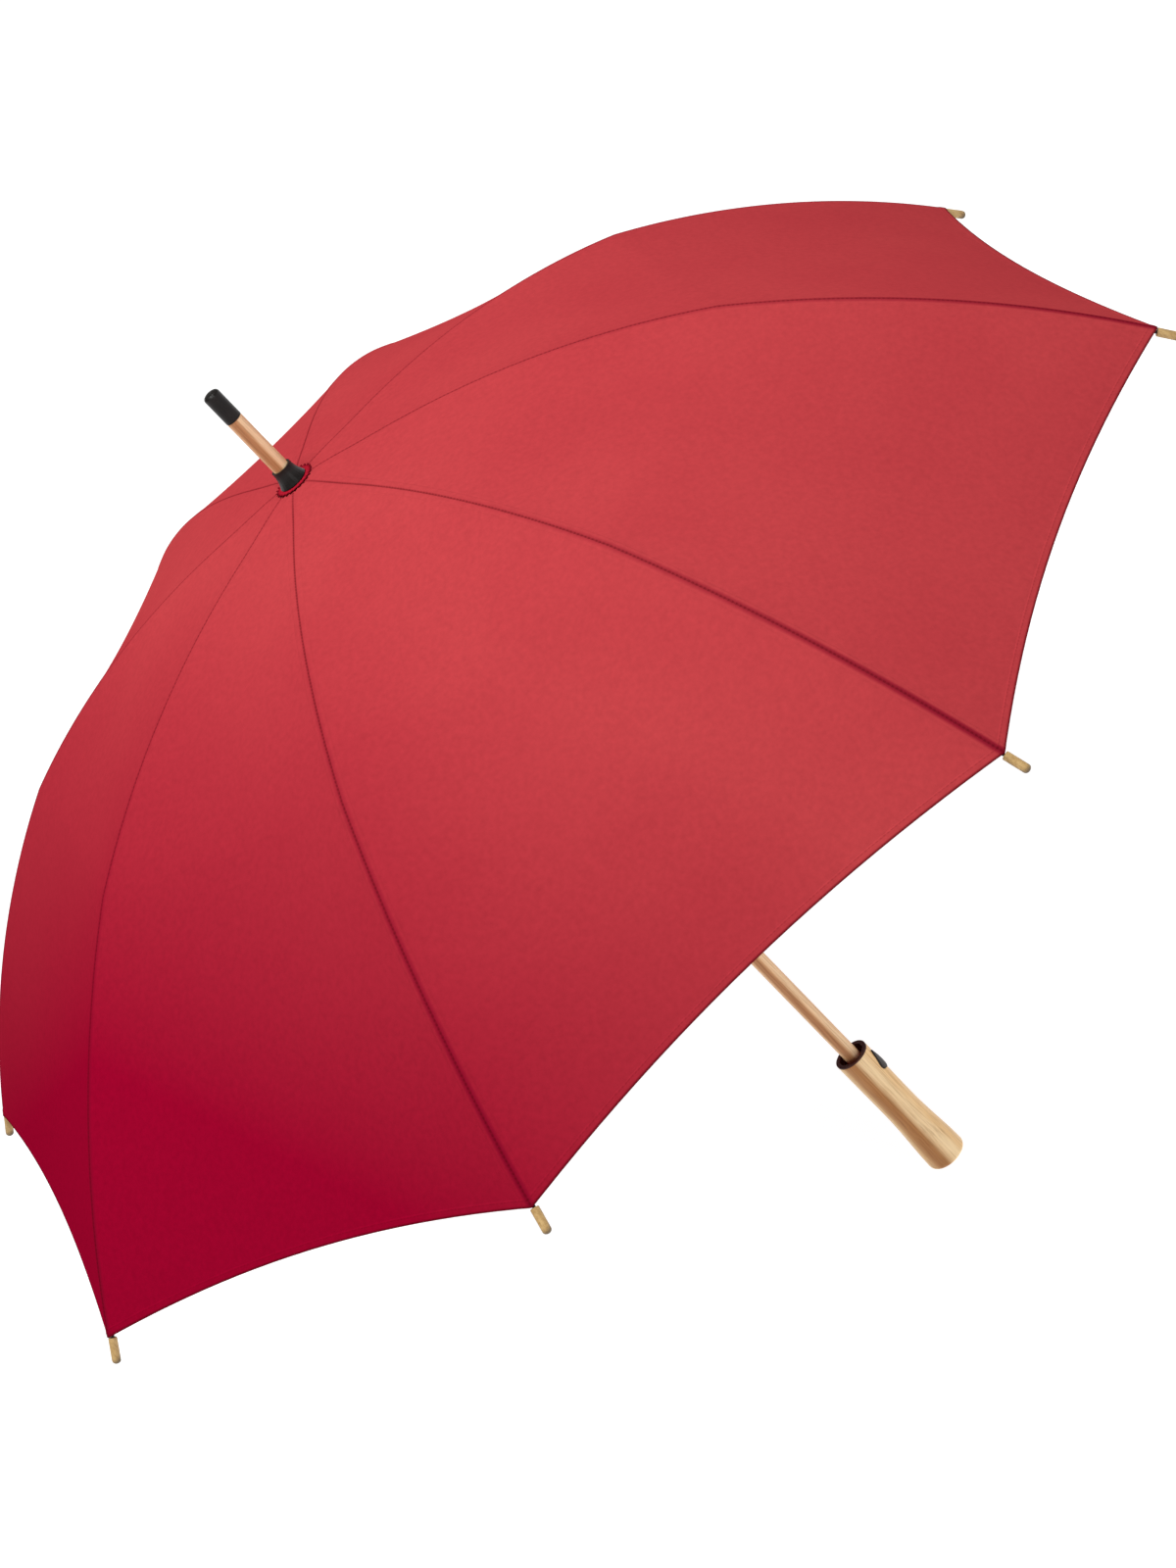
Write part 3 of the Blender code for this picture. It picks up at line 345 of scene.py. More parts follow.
def cloth_material(name, red, deep, shade, edge, fold):
    """Pongee: a tight plain weave without gloss, with dark seam lines and hem edge, painted shade
    beside each seam (fold) and painted shade on one side of the canopy (shade).
    """
    made = Shader(name, 0.62)
    along = made.attribute("along")
    across = made.attribute("across")
    seam = made.attribute("seam")
    hem = made.attribute("hem")
    vector = made.place()
    clouds = made.noise(vector, 7.0, 3.0, 0.5)
    slubs = made.noise(vector, 260.0, 4.0, 0.6)
    colour = made.ramp(clouds, [(0.3, deep), (0.7, red)])
    # Painted shade: the cloth turns to the shade colour towards the -X, -Y side of the canopy.
    position = made.split(vector)
    towards = made.math("MULTIPLY", position["X"], -0.90)
    towards = made.math("ADD", towards, made.math("MULTIPLY", position["Y"], -0.35))
    colour = made.mix(made.scale_range(towards, 0.0, 1.0, 0.08, 0.38), colour, shade)
    threads = made.ramp(slubs, [(0.25, (0.86, 0.86, 0.86)), (0.75, (1.08, 1.08, 1.08))])
    colour = made.mix(0.8, colour, threads, "MULTIPLY")
    # The line where the panels are sewn together and its stitches, and painted shade (fold) beside the
    # seam that grows stronger towards the hem.
    line = made.scale_range(seam, 0.62, 0.0, 0.0003, 0.0012)
    band = made.scale_range(seam, 0.8, 0.0, 0.0016, 0.0036)
    band = made.math("MULTIPLY", band, made.scale_range(along, 0.05, 1.0, 0.16, 0.56))
    stitch = made.scale_range(made.wave(along, STITCH_PITCH), 0.55, 1.0, -0.4, 0.4)
    colour = made.mix(band, colour, fold)
    colour = made.mix(made.math("MULTIPLY", line, stitch), colour, edge)
    # The turned hem: a row of stitches and a dark cut edge.
    hem_line = made.math("ABSOLUTE", made.math("SUBTRACT", hem, HEM_STITCH_LINE))
    hem_line = made.scale_range(hem_line, 0.25, 0.0, 0.0002, 0.0007)
    hem_stitch = made.scale_range(made.wave(across, STITCH_PITCH), 0.3, 1.0, -0.3, 0.3)
    colour = made.mix(made.math("MULTIPLY", hem_line, hem_stitch), colour, edge)
    border = made.scale_range(hem, 0.85, 0.0, 0.0006, 0.0021)
    colour = made.mix(border, colour, edge)
    made.feed("Base Color", colour)
    made.feed("Roughness", made.scale_range(slubs, 0.54, 0.70))
    made.set(Specular_IOR_Level=0.0)
    warp = made.wave(along, THREAD_PITCH)
    weft = made.wave(across, THREAD_PITCH)
    weave = made.bump(made.math("MULTIPLY", warp, weft), 0.10, 0.00012)
    # Slight puckers that the sewing draws up beside each seam.
    near = made.scale_range(seam, 1.0, 0.0, 0.001, 0.016)
    pucker = made.noise(made.place(), 95.0, 2.0, 0.4)
    creased = made.bump(made.math("MULTIPLY", near, pucker), 0.55, 0.0009, weave)
    made.bump(made.noise(vector, 16.0, 2.0, 0.4), 0.35, 0.0030, creased)
    return made.material


RED = (0.372, 0.0385, 0.0435)
DEEP_RED = (0.347, 0.0325, 0.0390)
# Colour of the painted shade on one side of the canopy.
SHADE_RED = (0.238, 0.0012, 0.0175)
EDGE_RED = (0.080, 0.0015, 0.0050)
# Colour of the painted shade beside each seam.
SEAM_SHADE_RED = (0.170, 0.0022, 0.0150)

ROSETTE_RED = (0.360, 0.0120, 0.0260)
ROSETTE_DEEP = (0.260, 0.0060, 0.0160)

cloth_look = cloth_material("canopy_cloth", RED, DEEP_RED, SHADE_RED, EDGE_RED, SEAM_SHADE_RED)
# The rosette takes its deep colour as the painted shade on one side.
rosette_look = cloth_material(
    "rosette_cloth", ROSETTE_RED, ROSETTE_DEEP, ROSETTE_DEEP, EDGE_RED, SEAM_SHADE_RED
)
handle_look = bamboo(
    "grip_bamboo",
    (0.98, 0.720, 0.380),
    (0.84, 0.540, 0.230),
    (0.54, 0.270, 0.090),
    shade_and_highlight_strips=[
        # Painted shade down the front-left of the grip, and a painted highlight down its front.
        (-119.0, (0.36, 0.125, 0.027), 0.80, 0.81, 0.98),
        (-74.0, (1.00, 0.820, 0.520), 0.55, 0.86, 1.00),
    ],
    gloss=0.30,
)
shaft_look = bamboo(
    "shaft_bamboo",
    (0.90, 0.610, 0.330),
    (0.78, 0.460, 0.220),
    (0.52, 0.260, 0.105),
    shade_and_highlight_strips=[
        # Painted shade down the front-left of the shaft, and a painted highlight down its front-right.
        (-112.0, (0.42, 0.180, 0.070), 0.85, 0.80, 0.98),
        (-55.0, (1.00, 0.790, 0.520), 0.60, 0.84, 1.00),
    ],
    gloss=0.34,
)
tip_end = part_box("rib_1_tip")[0].z
tip_look = bamboo(
    "tip_beech",
    (0.50, 0.340, 0.150),
    (0.40, 0.250, 0.095),
    (0.22, 0.125, 0.045),
    gloss=0.42,
    dark_end=((0.085, 0.065, 0.045), tip_end + 0.0015, tip_end + 0.0055),
)
black_look = moulded("black_plastic", (0.0050, 0.0042, 0.0038), (0.0120, 0.0100, 0.0090), 0.30)
liner_look = moulded("liner_plastic", (0.040, 0.0090, 0.0065), (0.075, 0.0180, 0.0130), 0.40)
button_look = moulded("button_plastic", (0.020, 0.018, 0.017), (0.040, 0.036, 0.034), 0.38)
glass_look = moulded("fibreglass", (0.012, 0.012, 0.013), (0.030, 0.030, 0.031), 0.28, 1500.0, 0.15)
frame_look = metal("painted_steel", (0.018, 0.018, 0.019), (0.040, 0.040, 0.041), 0.36, 0.6)
bright_look = metal("bright_steel", (0.42, 0.42, 0.43), (0.62, 0.62, 0.63), 0.30)

NODE_LOOKS = {
    "shaft": shaft_look,
    "handle": handle_look,
    "cup_liner": liner_look,
    "release_button": button_look,
    "release_catch": bright_look,
    "spring_plug": black_look,
    "spring_driver": bright_look,
    "runner": black_look,
    "runner_wire": bright_look,
    "runner_stop": black_look,
    "notch": black_look,
    "notch_wire": bright_look,
    "canopy_cap": black_look,
    "ferrule_cap": black_look,
}
for index in range(1, RIB_COUNT + 1):
    NODE_LOOKS[f"rib_{index}_inner"] = glass_look
    NODE_LOOKS[f"rib_{index}_outer"] = glass_look
    NODE_LOOKS[f"rib_{index}_joint"] = frame_look
    NODE_LOOKS[f"rib_{index}_tip"] = tip_look
    NODE_LOOKS[f"stretcher_{index}"] = frame_look
for name, look in NODE_LOOKS.items():
    if name in nodes:
        nodes[name].data.materials.clear()
        nodes[name].data.materials.append(look)


# ------------------------------------------------------------- mesh helpers


def make_object(name, points, faces, look, normals=None, attributes=None):
    """A new mesh object with its look, its own normals and point attributes."""
    mesh = bpy.data.meshes.new(name)
    mesh.from_pydata([tuple(map(float, p)) for p in points], [], faces)
    mesh.shade_smooth()
    for key, values in (attributes or {}).items():
        layer = mesh.attributes.new(key, "FLOAT", "POINT")
        layer.data.foreach_set("value", np.array(values, np.float32))
    mesh.materials.append(look)
    mesh.validate()
    if normals is not None:
        mesh.normals_split_custom_set([normals[loop.vertex_index] for loop in mesh.loops])
    mesh.update()
    made = bpy.data.objects.new(name, mesh)
    bpy.context.scene.collection.objects.link(made)
    return made


def smooth(value, low, high):
    """0 below low, 1 above high and an eased step between."""
    share = min(1.0, max(0.0, (value - low) / (high - low)))
    return share * share * (3 - 2 * share)


# ------------------------------------------------------------ cloth surface


def arc_point(length, start_deg, end_deg, share):
    """(x, z, slope) at a share of a curve whose slope grows evenly."""
    start = math.radians(start_deg)
    bend = (math.radians(end_deg) - start) / length
    slope = start + bend * length * share
    x = (math.sin(slope) - math.sin(start)) / bend
    z = (math.cos(slope) - math.cos(start)) / bend
    return x, z, slope


def rib_point(arc):
    """(x, z, slope) of a rib's middle line at a length along it."""
    if arc <= INNER_RIB_LENGTH:
        share = arc / INNER_RIB_LENGTH
        x, z, slope = arc_point(INNER_RIB_LENGTH, ROOT_SLOPE, INNER_END_SLOPE, share)
        return PIVOT_RADIUS + x, NOTCH_HEIGHT + z, slope
    joint_x, joint_z, _ = arc_point(INNER_RIB_LENGTH, ROOT_SLOPE, INNER_END_SLOPE, 1.0)
    share = (arc - INNER_RIB_LENGTH) / OUTER_RIB_LENGTH
    x, z, slope = arc_point(OUTER_RIB_LENGTH, OUTER_START_SLOPE, TIP_SLOPE, share)
    return PIVOT_RADIUS + joint_x + x, NOTCH_HEIGHT + joint_z + z, slope


def slope_at(arc):
    """The cloth's slope, eased over the ribs' kink at the joint."""
    if arc < 0:
        return 0.0
    low, high = INNER_RIB_LENGTH - JOINT_EASE, INNER_RIB_LENGTH + JOINT_EASE
    if low < arc < high:
        share = (arc - low) / (high - low)
        return rib_point(low)[2] * (1 - share) + rib_point(high)[2] * share
    return rib_point(arc)[2]


def cloth_line(arc):
    """(x, z, slope) of the cloth's middle surface over a rib."""
    lift = ROD_RADIUS + CLOTH_CLEARANCE + CLOTH_THICKNESS / 2
    rise = lift + CROWN_RISE * math.exp(-((max(arc, 0.0) / CROWN_RISE_REACH) ** 2))
    if arc < 0:
        return PIVOT_RADIUS + arc, NOTCH_HEIGHT + rise, 0.0
    x, z, _ = rib_point(arc)
    slope = slope_at(arc)
    return x + rise * math.sin(slope), z + rise * math.cos(slope), slope


FIRST_ARC = SHAFT_RADIUS + 2 * GAP - PIVOT_RADIUS
CLOTH_LENGTH = TOTAL_RIB_LENGTH - FIRST_ARC


def half_width(row):
    """Distance from a rib to the middle of its panel at a row."""
    x, _, _ = cloth_line(FIRST_ARC + CLOTH_LENGTH * row)
    return x * math.sin(HALF_TURN)


def cloth_base(row, share):
    """Point of the cloth in a rib's frame: share 0 on the rib, 1 in the middle of the panel."""
    column = share - 1.0
    middle = 1.0 - column * column
    arc = FIRST_ARC + CLOTH_LENGTH * row - SCALLOP_DEPTH * middle * row**3
    x, z, slope = cloth_line(arc)
    dip = PANEL_DIP * middle * smooth(row, 0.0, PANEL_DIP_FULL_ROW)
    chord = smooth(row, 0.0, CHORD_FULL_ROW)
    straight_x, straight_y = x * math.cos(HALF_TURN), x * math.sin(HALF_TURN) * column
    round_x, round_y = x * math.cos(column * HALF_TURN), x * math.sin(column * HALF_TURN)
    px = round_x + (straight_x - round_x) * chord - dip * math.sin(slope)
    py = round_y + (straight_y - round_y) * chord
    pz = z - dip * math.cos(slope)
    turned_x = px * math.cos(HALF_TURN) - py * math.sin(HALF_TURN)
    turned_y = px * math.sin(HALF_TURN) + py * math.cos(HALF_TURN)
    return np.array((turned_x, turned_y, pz))


def base_normal(row, share):
    """Unit normal of the plain cloth."""
    step = 1e-3
    along = cloth_base(row + step, share) - cloth_base(row - step, share)
    low = max(0.0, share - step)
    across = cloth_base(row, share + step) - cloth_base(row, low)
    normal = np.cross(along, across)
    return normal / np.linalg.norm(normal)


def hem_distance(row):
    """Length of cloth between a row and the hem."""
    return (1.0 - row) * CLOTH_LENGTH


def hem_height(row):
    """How far the turned hem stands out of either face."""
    return HEM_RISE * (1 - smooth(hem_distance(row), HEM_WIDTH - EDGE_FADE, HEM_WIDTH))


def relief(row, share):
    """How far the upper face stands out of the plain cloth at seams and hem."""
    seam = share * half_width(row)
    faded = smooth(row, *SEAM_FADE_ROWS)
    height = SEAM_RISE * (1 - smooth(seam, SEAM_BAND, SEAM_BAND + EDGE_FADE)) * faded
    height -= SEAM_GROOVE_DEPTH * (1 - smooth(seam, 0.0, SEAM_GROOVE_HALF)) * faded
    return height + hem_height(row)


def upper_point(row, share):
    """Point of the upper face, with its seam and hem."""
    height = CLOTH_THICKNESS / 2 + relief(row, share)
    return cloth_base(row, share) + base_normal(row, share) * height


def upper_normal(row, share, side_step):
    """Unit normal of the upper face."""
    row_step = 4e-4
    low_row = max(0.0, row - row_step)
    high_row = min(1.0, row + row_step)
    along = upper_point(high_row, share) - upper_point(low_row, share)
    low = max(0.0, share - side_step)
    across = upper_point(row, share + side_step) - upper_point(row, low)
    normal = np.cross(along, across)
    return normal / np.linalg.norm(normal)


def columns_at(row):
    """Shares from the rib to the panel's middle: crowded at the seam."""
    width = half_width(row)
    crowded = len(RIB_SIDE_COLUMNS) - 1
    shares = []
    for i, distance in enumerate(RIB_SIDE_COLUMNS):
        shares.append(min(distance / width, RIB_SIDE_SHARE * i / crowded))
    last = shares[-1]
    for i in range(1, OPEN_COLUMNS + 1):
        shares.append(last + (1 - last) * i / OPEN_COLUMNS)
    return shares


def row_at(arc):
    """Row at a length along the rib: 0 at the stem, 1 at the hem."""
    return (arc - FIRST_ARC) / CLOTH_LENGTH


def cut_row(arc, share):
    """Row where a cut square to the rib at arc crosses the cloth at a share of the half panel."""
    start = row_at(arc)
    if start <= 0.0 or start >= 1.0 - 1e-9:
        return min(max(start, 0.0), 1.0)
    slope = slope_at(arc)
    down = np.array((math.cos(slope), 0.0, -math.sin(slope)))
    anchor = cloth_base(start, 0.0)
    low, high = start - CUT_SEARCH_BEFORE, min(1.0, start + CUT_SEARCH_AFTER)
    for _ in range(CUT_SEARCH_STEPS):
        middle = (low + high) / 2
        if (cloth_base(middle, share) - anchor) @ down < 0:
            low = middle
        else:
            high = middle
    return (low + high) / 2


def band_rows(low_arc, high_arc, share):
    """Rows of one band at a share of the half panel, crowded at the hem."""
    low, high = cut_row(low_arc, share), cut_row(high_arc, share)
    count = max(2, round((high_arc - low_arc) / ROW_STEP))
    backs = ()
    if high == 1.0:
        high -= HEM_FIRST_ROW / CLOTH_LENGTH
        backs = HEM_ROWS
    rows = [low + (high - low) * i / count for i in range(count + 1)]
    return rows + [1.0 - back / CLOTH_LENGTH for back in backs]


def band_grid(low_arc, high_arc):
    """(row, share, sink) of every point of a band, line by line.

    Below the first band each one starts with a narrow lap that lies under the band above it.
    """
    rib_rows = band_rows(low_arc, high_arc, 0.0)
    grid = []
    for line, rib_row in enumerate(rib_rows):
        shares = columns_at(rib_row)
        grid.append([(band_rows(low_arc, high_arc, share)[line], share, 0.0) for share in shares])
    if low_arc > 0:
        edge, step = [], []
        for row, share, _ in grid[0]:
            away = smooth(share * half_width(row), *LAP_GROWTH)
            lap = LAP_AT_RIB + (LAP_AWAY - LAP_AT_RIB) * away
            edge.append((row - lap / CLOTH_LENGTH, share, LAP_SINK))
            step.append((row - LAP_STEP / CLOTH_LENGTH, share, LAP_SINK))
        grid = [edge, step, *grid]
    return grid


def build_half_gore(low_arc, high_arc):
    """Points, faces, normals, attributes and line count of a band beside a rib, on its +Y side."""
    grid = band_grid(low_arc, high_arc)
    points, normals, along, across, seam, hem = [], [], [], [], [], []
    width_count = len(grid[0])
    for lower in (False, True):
        for line in grid:
            for row, share, sink in line:
                width = half_width(row)
                normal = base_normal(row, share)
                if lower:
                    height = -CLOTH_THICKNESS / 2 - hem_height(row)
                    points.append(cloth_base(row, share) + normal * (height - sink))
                    normals.append(-normal)
                else:
                    points.append(upper_point(row, share) - normal * sink)
                    normals.append(upper_normal(row, share, NORMAL_SIDE_STEP / width))
                along.append(row * CLOTH_LENGTH)
                across.append(share * width)
                seam.append(share * width)
                hem.append(hem_distance(row))
    line_count = len(grid)
    layer = width_count * line_count
    faces = []
    for r in range(line_count - 1):
        for c in range(width_count - 1):
            a = r * width_count + c
            b, d, e = a + 1, a + width_count, a + width_count + 1
            faces.append((a, d, e, b))
            faces.append((layer + a, layer + b, layer + e, layer + d))
    attributes = {"along": along, "across": across, "seam": seam, "hem": hem}
    return points, faces, normals, attributes, line_count


def close_edges(faces, row_count, width_count):
    """Walls between the upper and the lower layer round the whole patch."""
    layer = row_count * width_count
    first = list(range(width_count))
    right = [r * width_count + width_count - 1 for r in range(1, row_count)]
    last = [(row_count - 1) * width_count + c for c in range(width_count - 2, -1, -1)]
    left = [r * width_count for r in range(row_count - 2, 0, -1)]
    ring = first + right + last + left
    for a, b in zip(ring, ring[1:] + ring[:1]):
        faces.append((a, b, layer + b, layer + a))


def turn_about(x, z, centre_x, centre_z, degrees):
    """(x, z) turned down about a hinge that runs along Y."""
    angle = math.radians(degrees)
    dx, dz = x - centre_x, z - centre_z
    return (
        centre_x + dx * math.cos(angle) + dz * math.sin(angle),
        centre_z - dx * math.sin(angle) + dz * math.cos(angle),
    )


def closed_place(point, outer):
    """A point of a rib's frame when the umbrella is shut."""
    x, y, z = point
    if outer:
        joint_x, joint_z, _ = rib_point(INNER_RIB_LENGTH)
        x, z = turn_about(x, z, joint_x, joint_z, FLEX_DEG)
    x, z = turn_about(x, z, PIVOT_RADIUS, NOTCH_HEIGHT, FOLD_DEG)
    return x, y, z


def fold_of(low_arc, high_arc, tilt_deg):
    """(axis, anchor, keep) in a rib's frame that folds a band inwards beside the rib.

    The fold is widened until the band's inner edge passes the plane halfway to the next rib.
    """
    outer = low_arc > INNER_RIB_LENGTH - 1e-9
    middle_arc = (low_arc + high_arc) / 2
    slope = slope_at(middle_arc)
    down = np.array((math.cos(slope), 0.0, -math.sin(slope)))
    out = np.array((math.sin(slope), 0.0, math.cos(slope)))
    side = np.array((0.0, 1.0, 0.0))
    anchor = cloth_base(row_at(middle_arc), 0.0)
    edge = [cloth_base(row, 1.0) for row in band_rows(low_arc, high_arc, 1.0)]
    across = edge[len(edge) // 2] - anchor
    across -= down * (across @ down)
    across /= np.linalg.norm(across)
    tilt = math.radians(tilt_deg)
    folded = math.cos(tilt) * side - math.sin(tilt) * out
    share = FOLD_FIRST_SHARE
    while True:
        change = across - share * folded
        length = np.linalg.norm(change)
        axis = change / length
        keep = 1 - length / float(across @ axis)
        reach = []
        for point in edge:
            moved = point - (1 - keep) * float((point - anchor) @ axis) * axis
            x, y, _ = closed_place(moved, outer)
            reach.append(y * math.cos(HALF_TURN) - x * math.sin(HALF_TURN))
        if min(reach) > FOLD_OVERLAP or share > FOLD_SHARE_LIMIT * float(across @ folded):
            return axis, anchor, max(keep, SMALLEST_KEEP)
        share += FOLD_SHARE_STEP


def rib_turn(index):
    """Turn about the shaft from +X to a rib."""
    return Matrix.Rotation(math.radians(FIRST_RIB_DEG + 360.0 / RIB_COUNT * index), 3, "Z")


def make_canopy():
    """Every band on both sides of every rib, as a sheet that folds with the rib."""
    low_arc = FIRST_ARC
    for band, high_arc in enumerate(INNER_BAND_ENDS + OUTER_BAND_ENDS):
        points, faces, normals, attributes, line_count = build_half_gore(low_arc, high_arc)
        layer = len(points) // 2
        width_count = layer // line_count
        close_edges(faces, line_count, width_count)
        if band:
            deeper = smooth((low_arc + high_arc) / 2, 0.0, FOLD_TILT_REACH)
            tilt = CROWN_TILT + (FOLD_TILT - CROWN_TILT) * deeper
            axis, anchor, keep = fold_of(low_arc, high_arc, tilt)
        inner = band < len(INNER_BAND_ENDS)
        for index in range(RIB_COUNT):
            turn = rib_turn(index)
            body = f"rib_{index + 1}" if inner else f"rib_{index + 1}_end"
            for letter, side in (("a", 1), ("b", -1)):
                matrix = turn @ Matrix.Diagonal((1, side, 1))
                place = np.array(matrix)
                moved = [place @ point for point in points]
                shown = [tuple(place @ normal) for normal in normals]
                ordered = faces if side > 0 else [tuple(reversed(face)) for face in faces]
                name = f"cloth_{index + 1}{letter}_{band + 1}"
                piece = make_object(name, moved, ordered, cloth_look, shown, attributes)
                if band:
                    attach(piece, body)
                    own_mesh(piece)
                else:
                    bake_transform(piece)
                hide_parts("canopy")
        low_arc = high_arc


make_canopy()


# ------------------------------------------------------------ other pieces


def make_rosette():
    """A crimped disc of cloth round the shaft under the canopy cap."""
    low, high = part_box("rosette")
    outer = high.x
    inner = SHAFT_RADIUS + GAP
    sides, rings, folds = 192, 10, 24
    unevenness, crimp, crimp_phase = 0.6, 0.10, 1.1
    wave_share, inner_thickness, thinning = 0.55, 0.45, 0.20
    seam_away = 0.02
    half = (high.z - low.z) / 2
    middle = (high.z + low.z) / 2
    points, faces, seam, hem = [], [], [], []
    for sign in (1, -1):
        for r in range(rings + 1):
            share = r / rings
            for i in range(sides):
                angle = 2 * math.pi * i / sides
                wave = math.sin(folds * angle + unevenness * math.sin(3 * angle))
                swell = 1 + crimp * math.sin(folds * angle + crimp_phase) * share
                radius = inner + (outer - inner) * share * swell
                face = sign * half * (inner_thickness - thinning * share)
                lift = wave_share * half * wave * share**1.5 + face
                points.append((radius * math.cos(angle), radius * math.sin(angle), middle + lift))
                seam.append(seam_away)
                hem.append((1 - share) * (outer - inner))
    count = sides * (rings + 1)
    for r in range(rings):
        for i in range(sides):
            j = (i + 1) % sides
            a, b = r * sides + i, r * sides + j
            c, d = (r + 1) * sides + j, (r + 1) * sides + i
            faces.append((a, d, c, b))
            faces.append((count + a, count + b, count + c, count + d))
    for i in range(sides):
        j = (i + 1) % sides
        faces.append((i, j, count + j, count + i))
        a, b = rings * sides + i, rings * sides + j
        faces.append((a, count + a, count + b, b))
    zeros = [0.0] * len(points)
    attributes = {"seam": seam, "hem": hem, "along": zeros, "across": zeros}
    made = make_object("rosette_frill", points, faces, rosette_look, attributes=attributes)
    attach(made, "root")
    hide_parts("rosette")


def swept_wire(path, radius, sides):
    """Points and faces of round wire along a path of points."""
    points, faces = [], []
    count = len(path)
    for i, centre in enumerate(path):
        before, after = path[max(0, i - 1)], path[min(count - 1, i + 1)]
        ahead = Vector(after) - Vector(before)
        ahead.normalize()
        out = Vector((centre[0], centre[1], 0.0))
        out -= ahead * out.dot(ahead)
        out.normalize()
        up = ahead.cross(out)
        for k in range(sides):
            angle = 2 * math.pi * k / sides
            outwards = out * radius * math.cos(angle)
            upwards = up * radius * math.sin(angle)
            points.append(Vector(centre) + outwards + upwards)
    for i in range(count - 1):
        for k in range(sides):
            j = (k + 1) % sides
            a, b = i * sides + k, i * sides + j
            faces.append((a, b, b + sides, a + sides))
    faces.append(tuple(range(sides - 1, -1, -1)))
    faces.append(tuple((count - 1) * sides + k for k in range(sides)))
    return points, faces


def make_opening_spring():
    """The long coil that drives the runner up, pressed together when the umbrella is shut."""
    low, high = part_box("opening_spring")
    turns, steps, wire = 30, 20, 0.0005
    coil = high.x - wire
    bottom, top = low.z + wire, high.z - wire
    count = turns * steps
    path = []
    for i in range(count + 1):
        angle = 2 * math.pi * i / steps
        height = bottom + (top - bottom) * i / count
        path.append((coil * math.cos(angle), coil * math.sin(angle), height))
    points, faces = swept_wire(path, wire, 8)
    made = make_object("opening_spring_coil", points, faces, bright_look)
    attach(made, "root")
    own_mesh(made)
    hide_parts("opening_spring")


def make_release_spring():
    """The bowed leaf behind the catch."""
    low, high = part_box("release_spring")
    bearing = math.radians(BUTTON_BEARING_DEG)
    middle, end_depth = 0.0118, 0.0092
    half_span, half_leaf = 0.0050, 0.00015
    steps = 28
    points = []
    for i in range(steps + 1):
        share = 2 * i / steps - 1
        depth = -middle + (middle - end_depth) * share**2
        y = half_span * share
        inside, outside = depth - half_leaf, depth + half_leaf
        for x, z in ((inside, low.z), (outside, low.z), (outside, high.z), (inside, high.z)):
            turned_x = x * math.cos(bearing) - y * math.sin(bearing)
            turned_y = x * math.sin(bearing) + y * math.cos(bearing)
            points.append((turned_x, turned_y, z))
    faces = [(0, 1, 2, 3), tuple(steps * 4 + k for k in (3, 2, 1, 0))]
    for i in range(steps):
        for k in range(4):
            j = (k + 1) % 4
            faces.append((i * 4 + k, (i + 1) * 4 + k, (i + 1) * 4 + j, i * 4 + j))
    made = make_object("release_spring_leaf", points, faces, bright_look)
    made.data.set_sharp_from_angle(angle=math.radians(40))
    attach(made, "root")
    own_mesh(made)
    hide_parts("release_spring")


make_rosette()
make_opening_spring()
make_release_spring()


# ----------------------------------------------------------- camera and light


def camera_axes():
    """The camera's own X, Y and Z in the scene."""
    azimuth, elevation = math.radians(CAMERA_AZIMUTH), math.radians(CAMERA_ELEVATION)
    ahead = Vector(
        (
            -math.sin(azimuth) * math.cos(elevation),
            math.cos(azimuth) * math.cos(elevation),
            -math.sin(elevation),
        )
    )
    right = ahead.cross(Vector((0, 0, 1))).normalized()
    up = right.cross(ahead)
    roll = math.radians(CAMERA_ROLL)
    x_axis = right * math.cos(roll) - up * math.sin(roll)
    y_axis = right * math.sin(roll) + up * math.cos(roll)
    return x_axis, y_axis, -ahead


def make_camera():
    """The camera that took the photo."""
    data = bpy.data.cameras.new("camera")
    data.lens = CAMERA_LENS
    data.sensor_width = CAMERA_SENSOR
    data.clip_start = CAMERA_NEAR
    data.clip_end = CAMERA_FAR
    camera = bpy.data.objects.new("camera", data)
    bpy.context.scene.collection.objects.link(camera)
    x_axis, y_axis, z_axis = camera_axes()
    matrix = Matrix((x_axis, y_axis, z_axis)).transposed().to_4x4()
    matrix.translation = Vector(CAMERA_PLACE)
    camera.matrix_world = matrix
    bpy.context.scene.camera = camera


def make_light(name, place, target, size, power):
    """A soft rectangle of light that faces its target."""
    data = bpy.data.lights.new(name, "AREA")
    data.shape = "RECTANGLE"
    data.size, data.size_y = size
    data.energy = power
    light = bpy.data.objects.new(name, data)
    light.location = place
    light.rotation_euler = (Vector(target) - Vector(place)).to_track_quat("-Z", "Y").to_euler()
    bpy.context.scene.collection.objects.link(light)


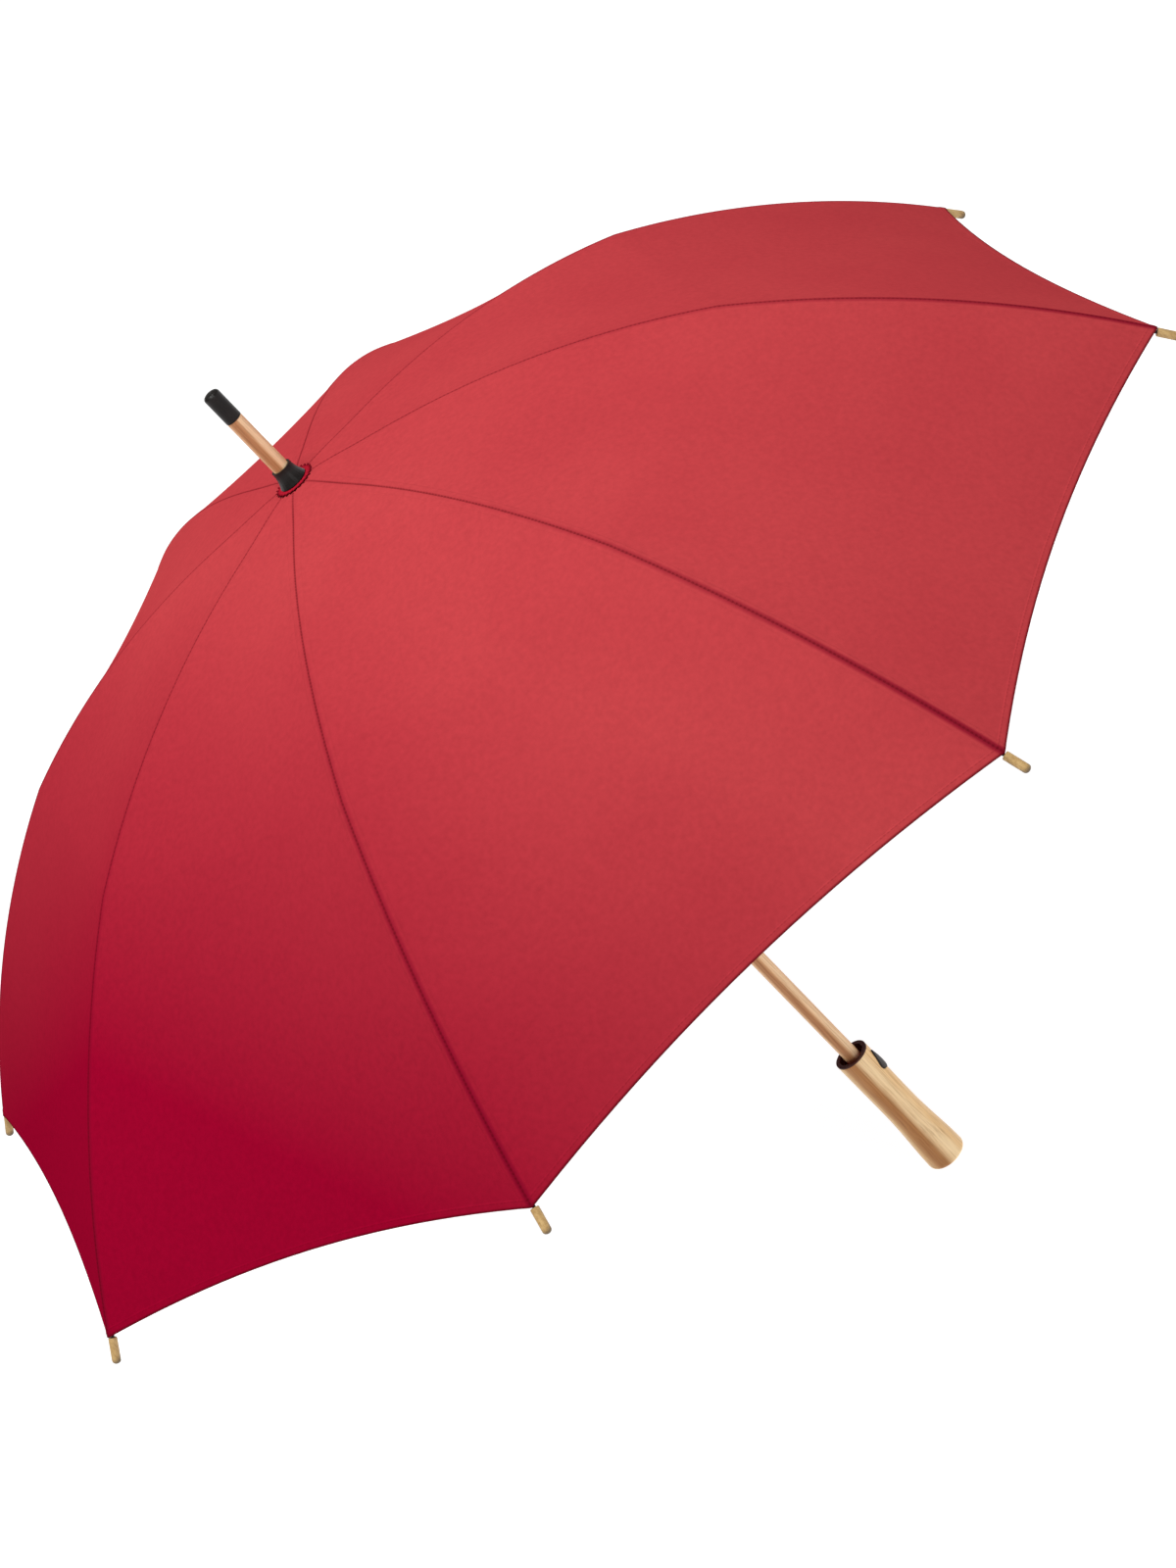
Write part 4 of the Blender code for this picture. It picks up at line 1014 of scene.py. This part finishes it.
def make_world():
    """White light from all round, stronger towards the bright side."""
    world = bpy.data.worlds.new("studio")
    world.use_nodes = True
    tree = world.node_tree
    background = tree.nodes["Background"]
    direction = tree.nodes.new("ShaderNodeTexCoord")
    facing = tree.nodes.new("ShaderNodeVectorMath")
    facing.operation = "DOT_PRODUCT"
    facing.inputs[1].default_value = WORLD_BRIGHT_SIDE
    shade = tree.nodes.new("ShaderNodeMapRange")
    shade.interpolation_type = "SMOOTHSTEP"
    shade.inputs["From Min"].default_value = WORLD_SPREAD[0]
    shade.inputs["From Max"].default_value = WORLD_SPREAD[1]
    shade.inputs["To Min"].default_value = WORLD_STRENGTH[0]
    shade.inputs["To Max"].default_value = WORLD_STRENGTH[1]
    tree.links.new(direction.outputs["Generated"], facing.inputs[0])
    tree.links.new(facing.outputs["Value"], shade.inputs["Value"])
    tree.links.new(shade.outputs["Result"], background.inputs["Strength"])
    background.inputs["Color"].default_value = (1.0, 1.0, 1.0, 1.0)
    bpy.context.scene.world = world


def make_floor():
    """A white floor with a low wall round it."""
    points = []
    for height in (0.0, FLOOR_WALL):
        for i in range(FLOOR_SIDES):
            angle = 2 * math.pi * i / FLOOR_SIDES
            points.append((FLOOR_RADIUS * math.cos(angle), FLOOR_RADIUS * math.sin(angle), height))
    faces = [tuple(range(FLOOR_SIDES))]
    for i in range(FLOOR_SIDES):
        j = (i + 1) % FLOOR_SIDES
        faces.append((i, FLOOR_SIDES + i, FLOOR_SIDES + j, j))
    mesh = bpy.data.meshes.new("floor")
    mesh.from_pydata(points, [], faces)
    made = Shader("floor", 0.9)
    made.set(Specular_IOR_Level=0.0)
    made.set(Base_Color=FLOOR_COLOUR, Emission_Color=(1.0, 1.0, 1.0, 1.0), Emission_Strength=FLOOR_GLOW)
    mesh.materials.append(made.material)
    floor = bpy.data.objects.new("floor", mesh)
    bpy.context.scene.collection.objects.link(floor)


make_camera()
make_world()
make_floor()
make_light("key", place=(-0.2, -0.6, 4.6), target=(0.0, 0.0, 0.6), size=(1.8, 1.8), power=235.0)
make_light("strip", place=(0.7, -2.6, 1.3), target=(0.0, 0.0, 0.20), size=(0.30, 1.8), power=5.0)
bpy.context.scene.view_settings.view_transform = "Standard"
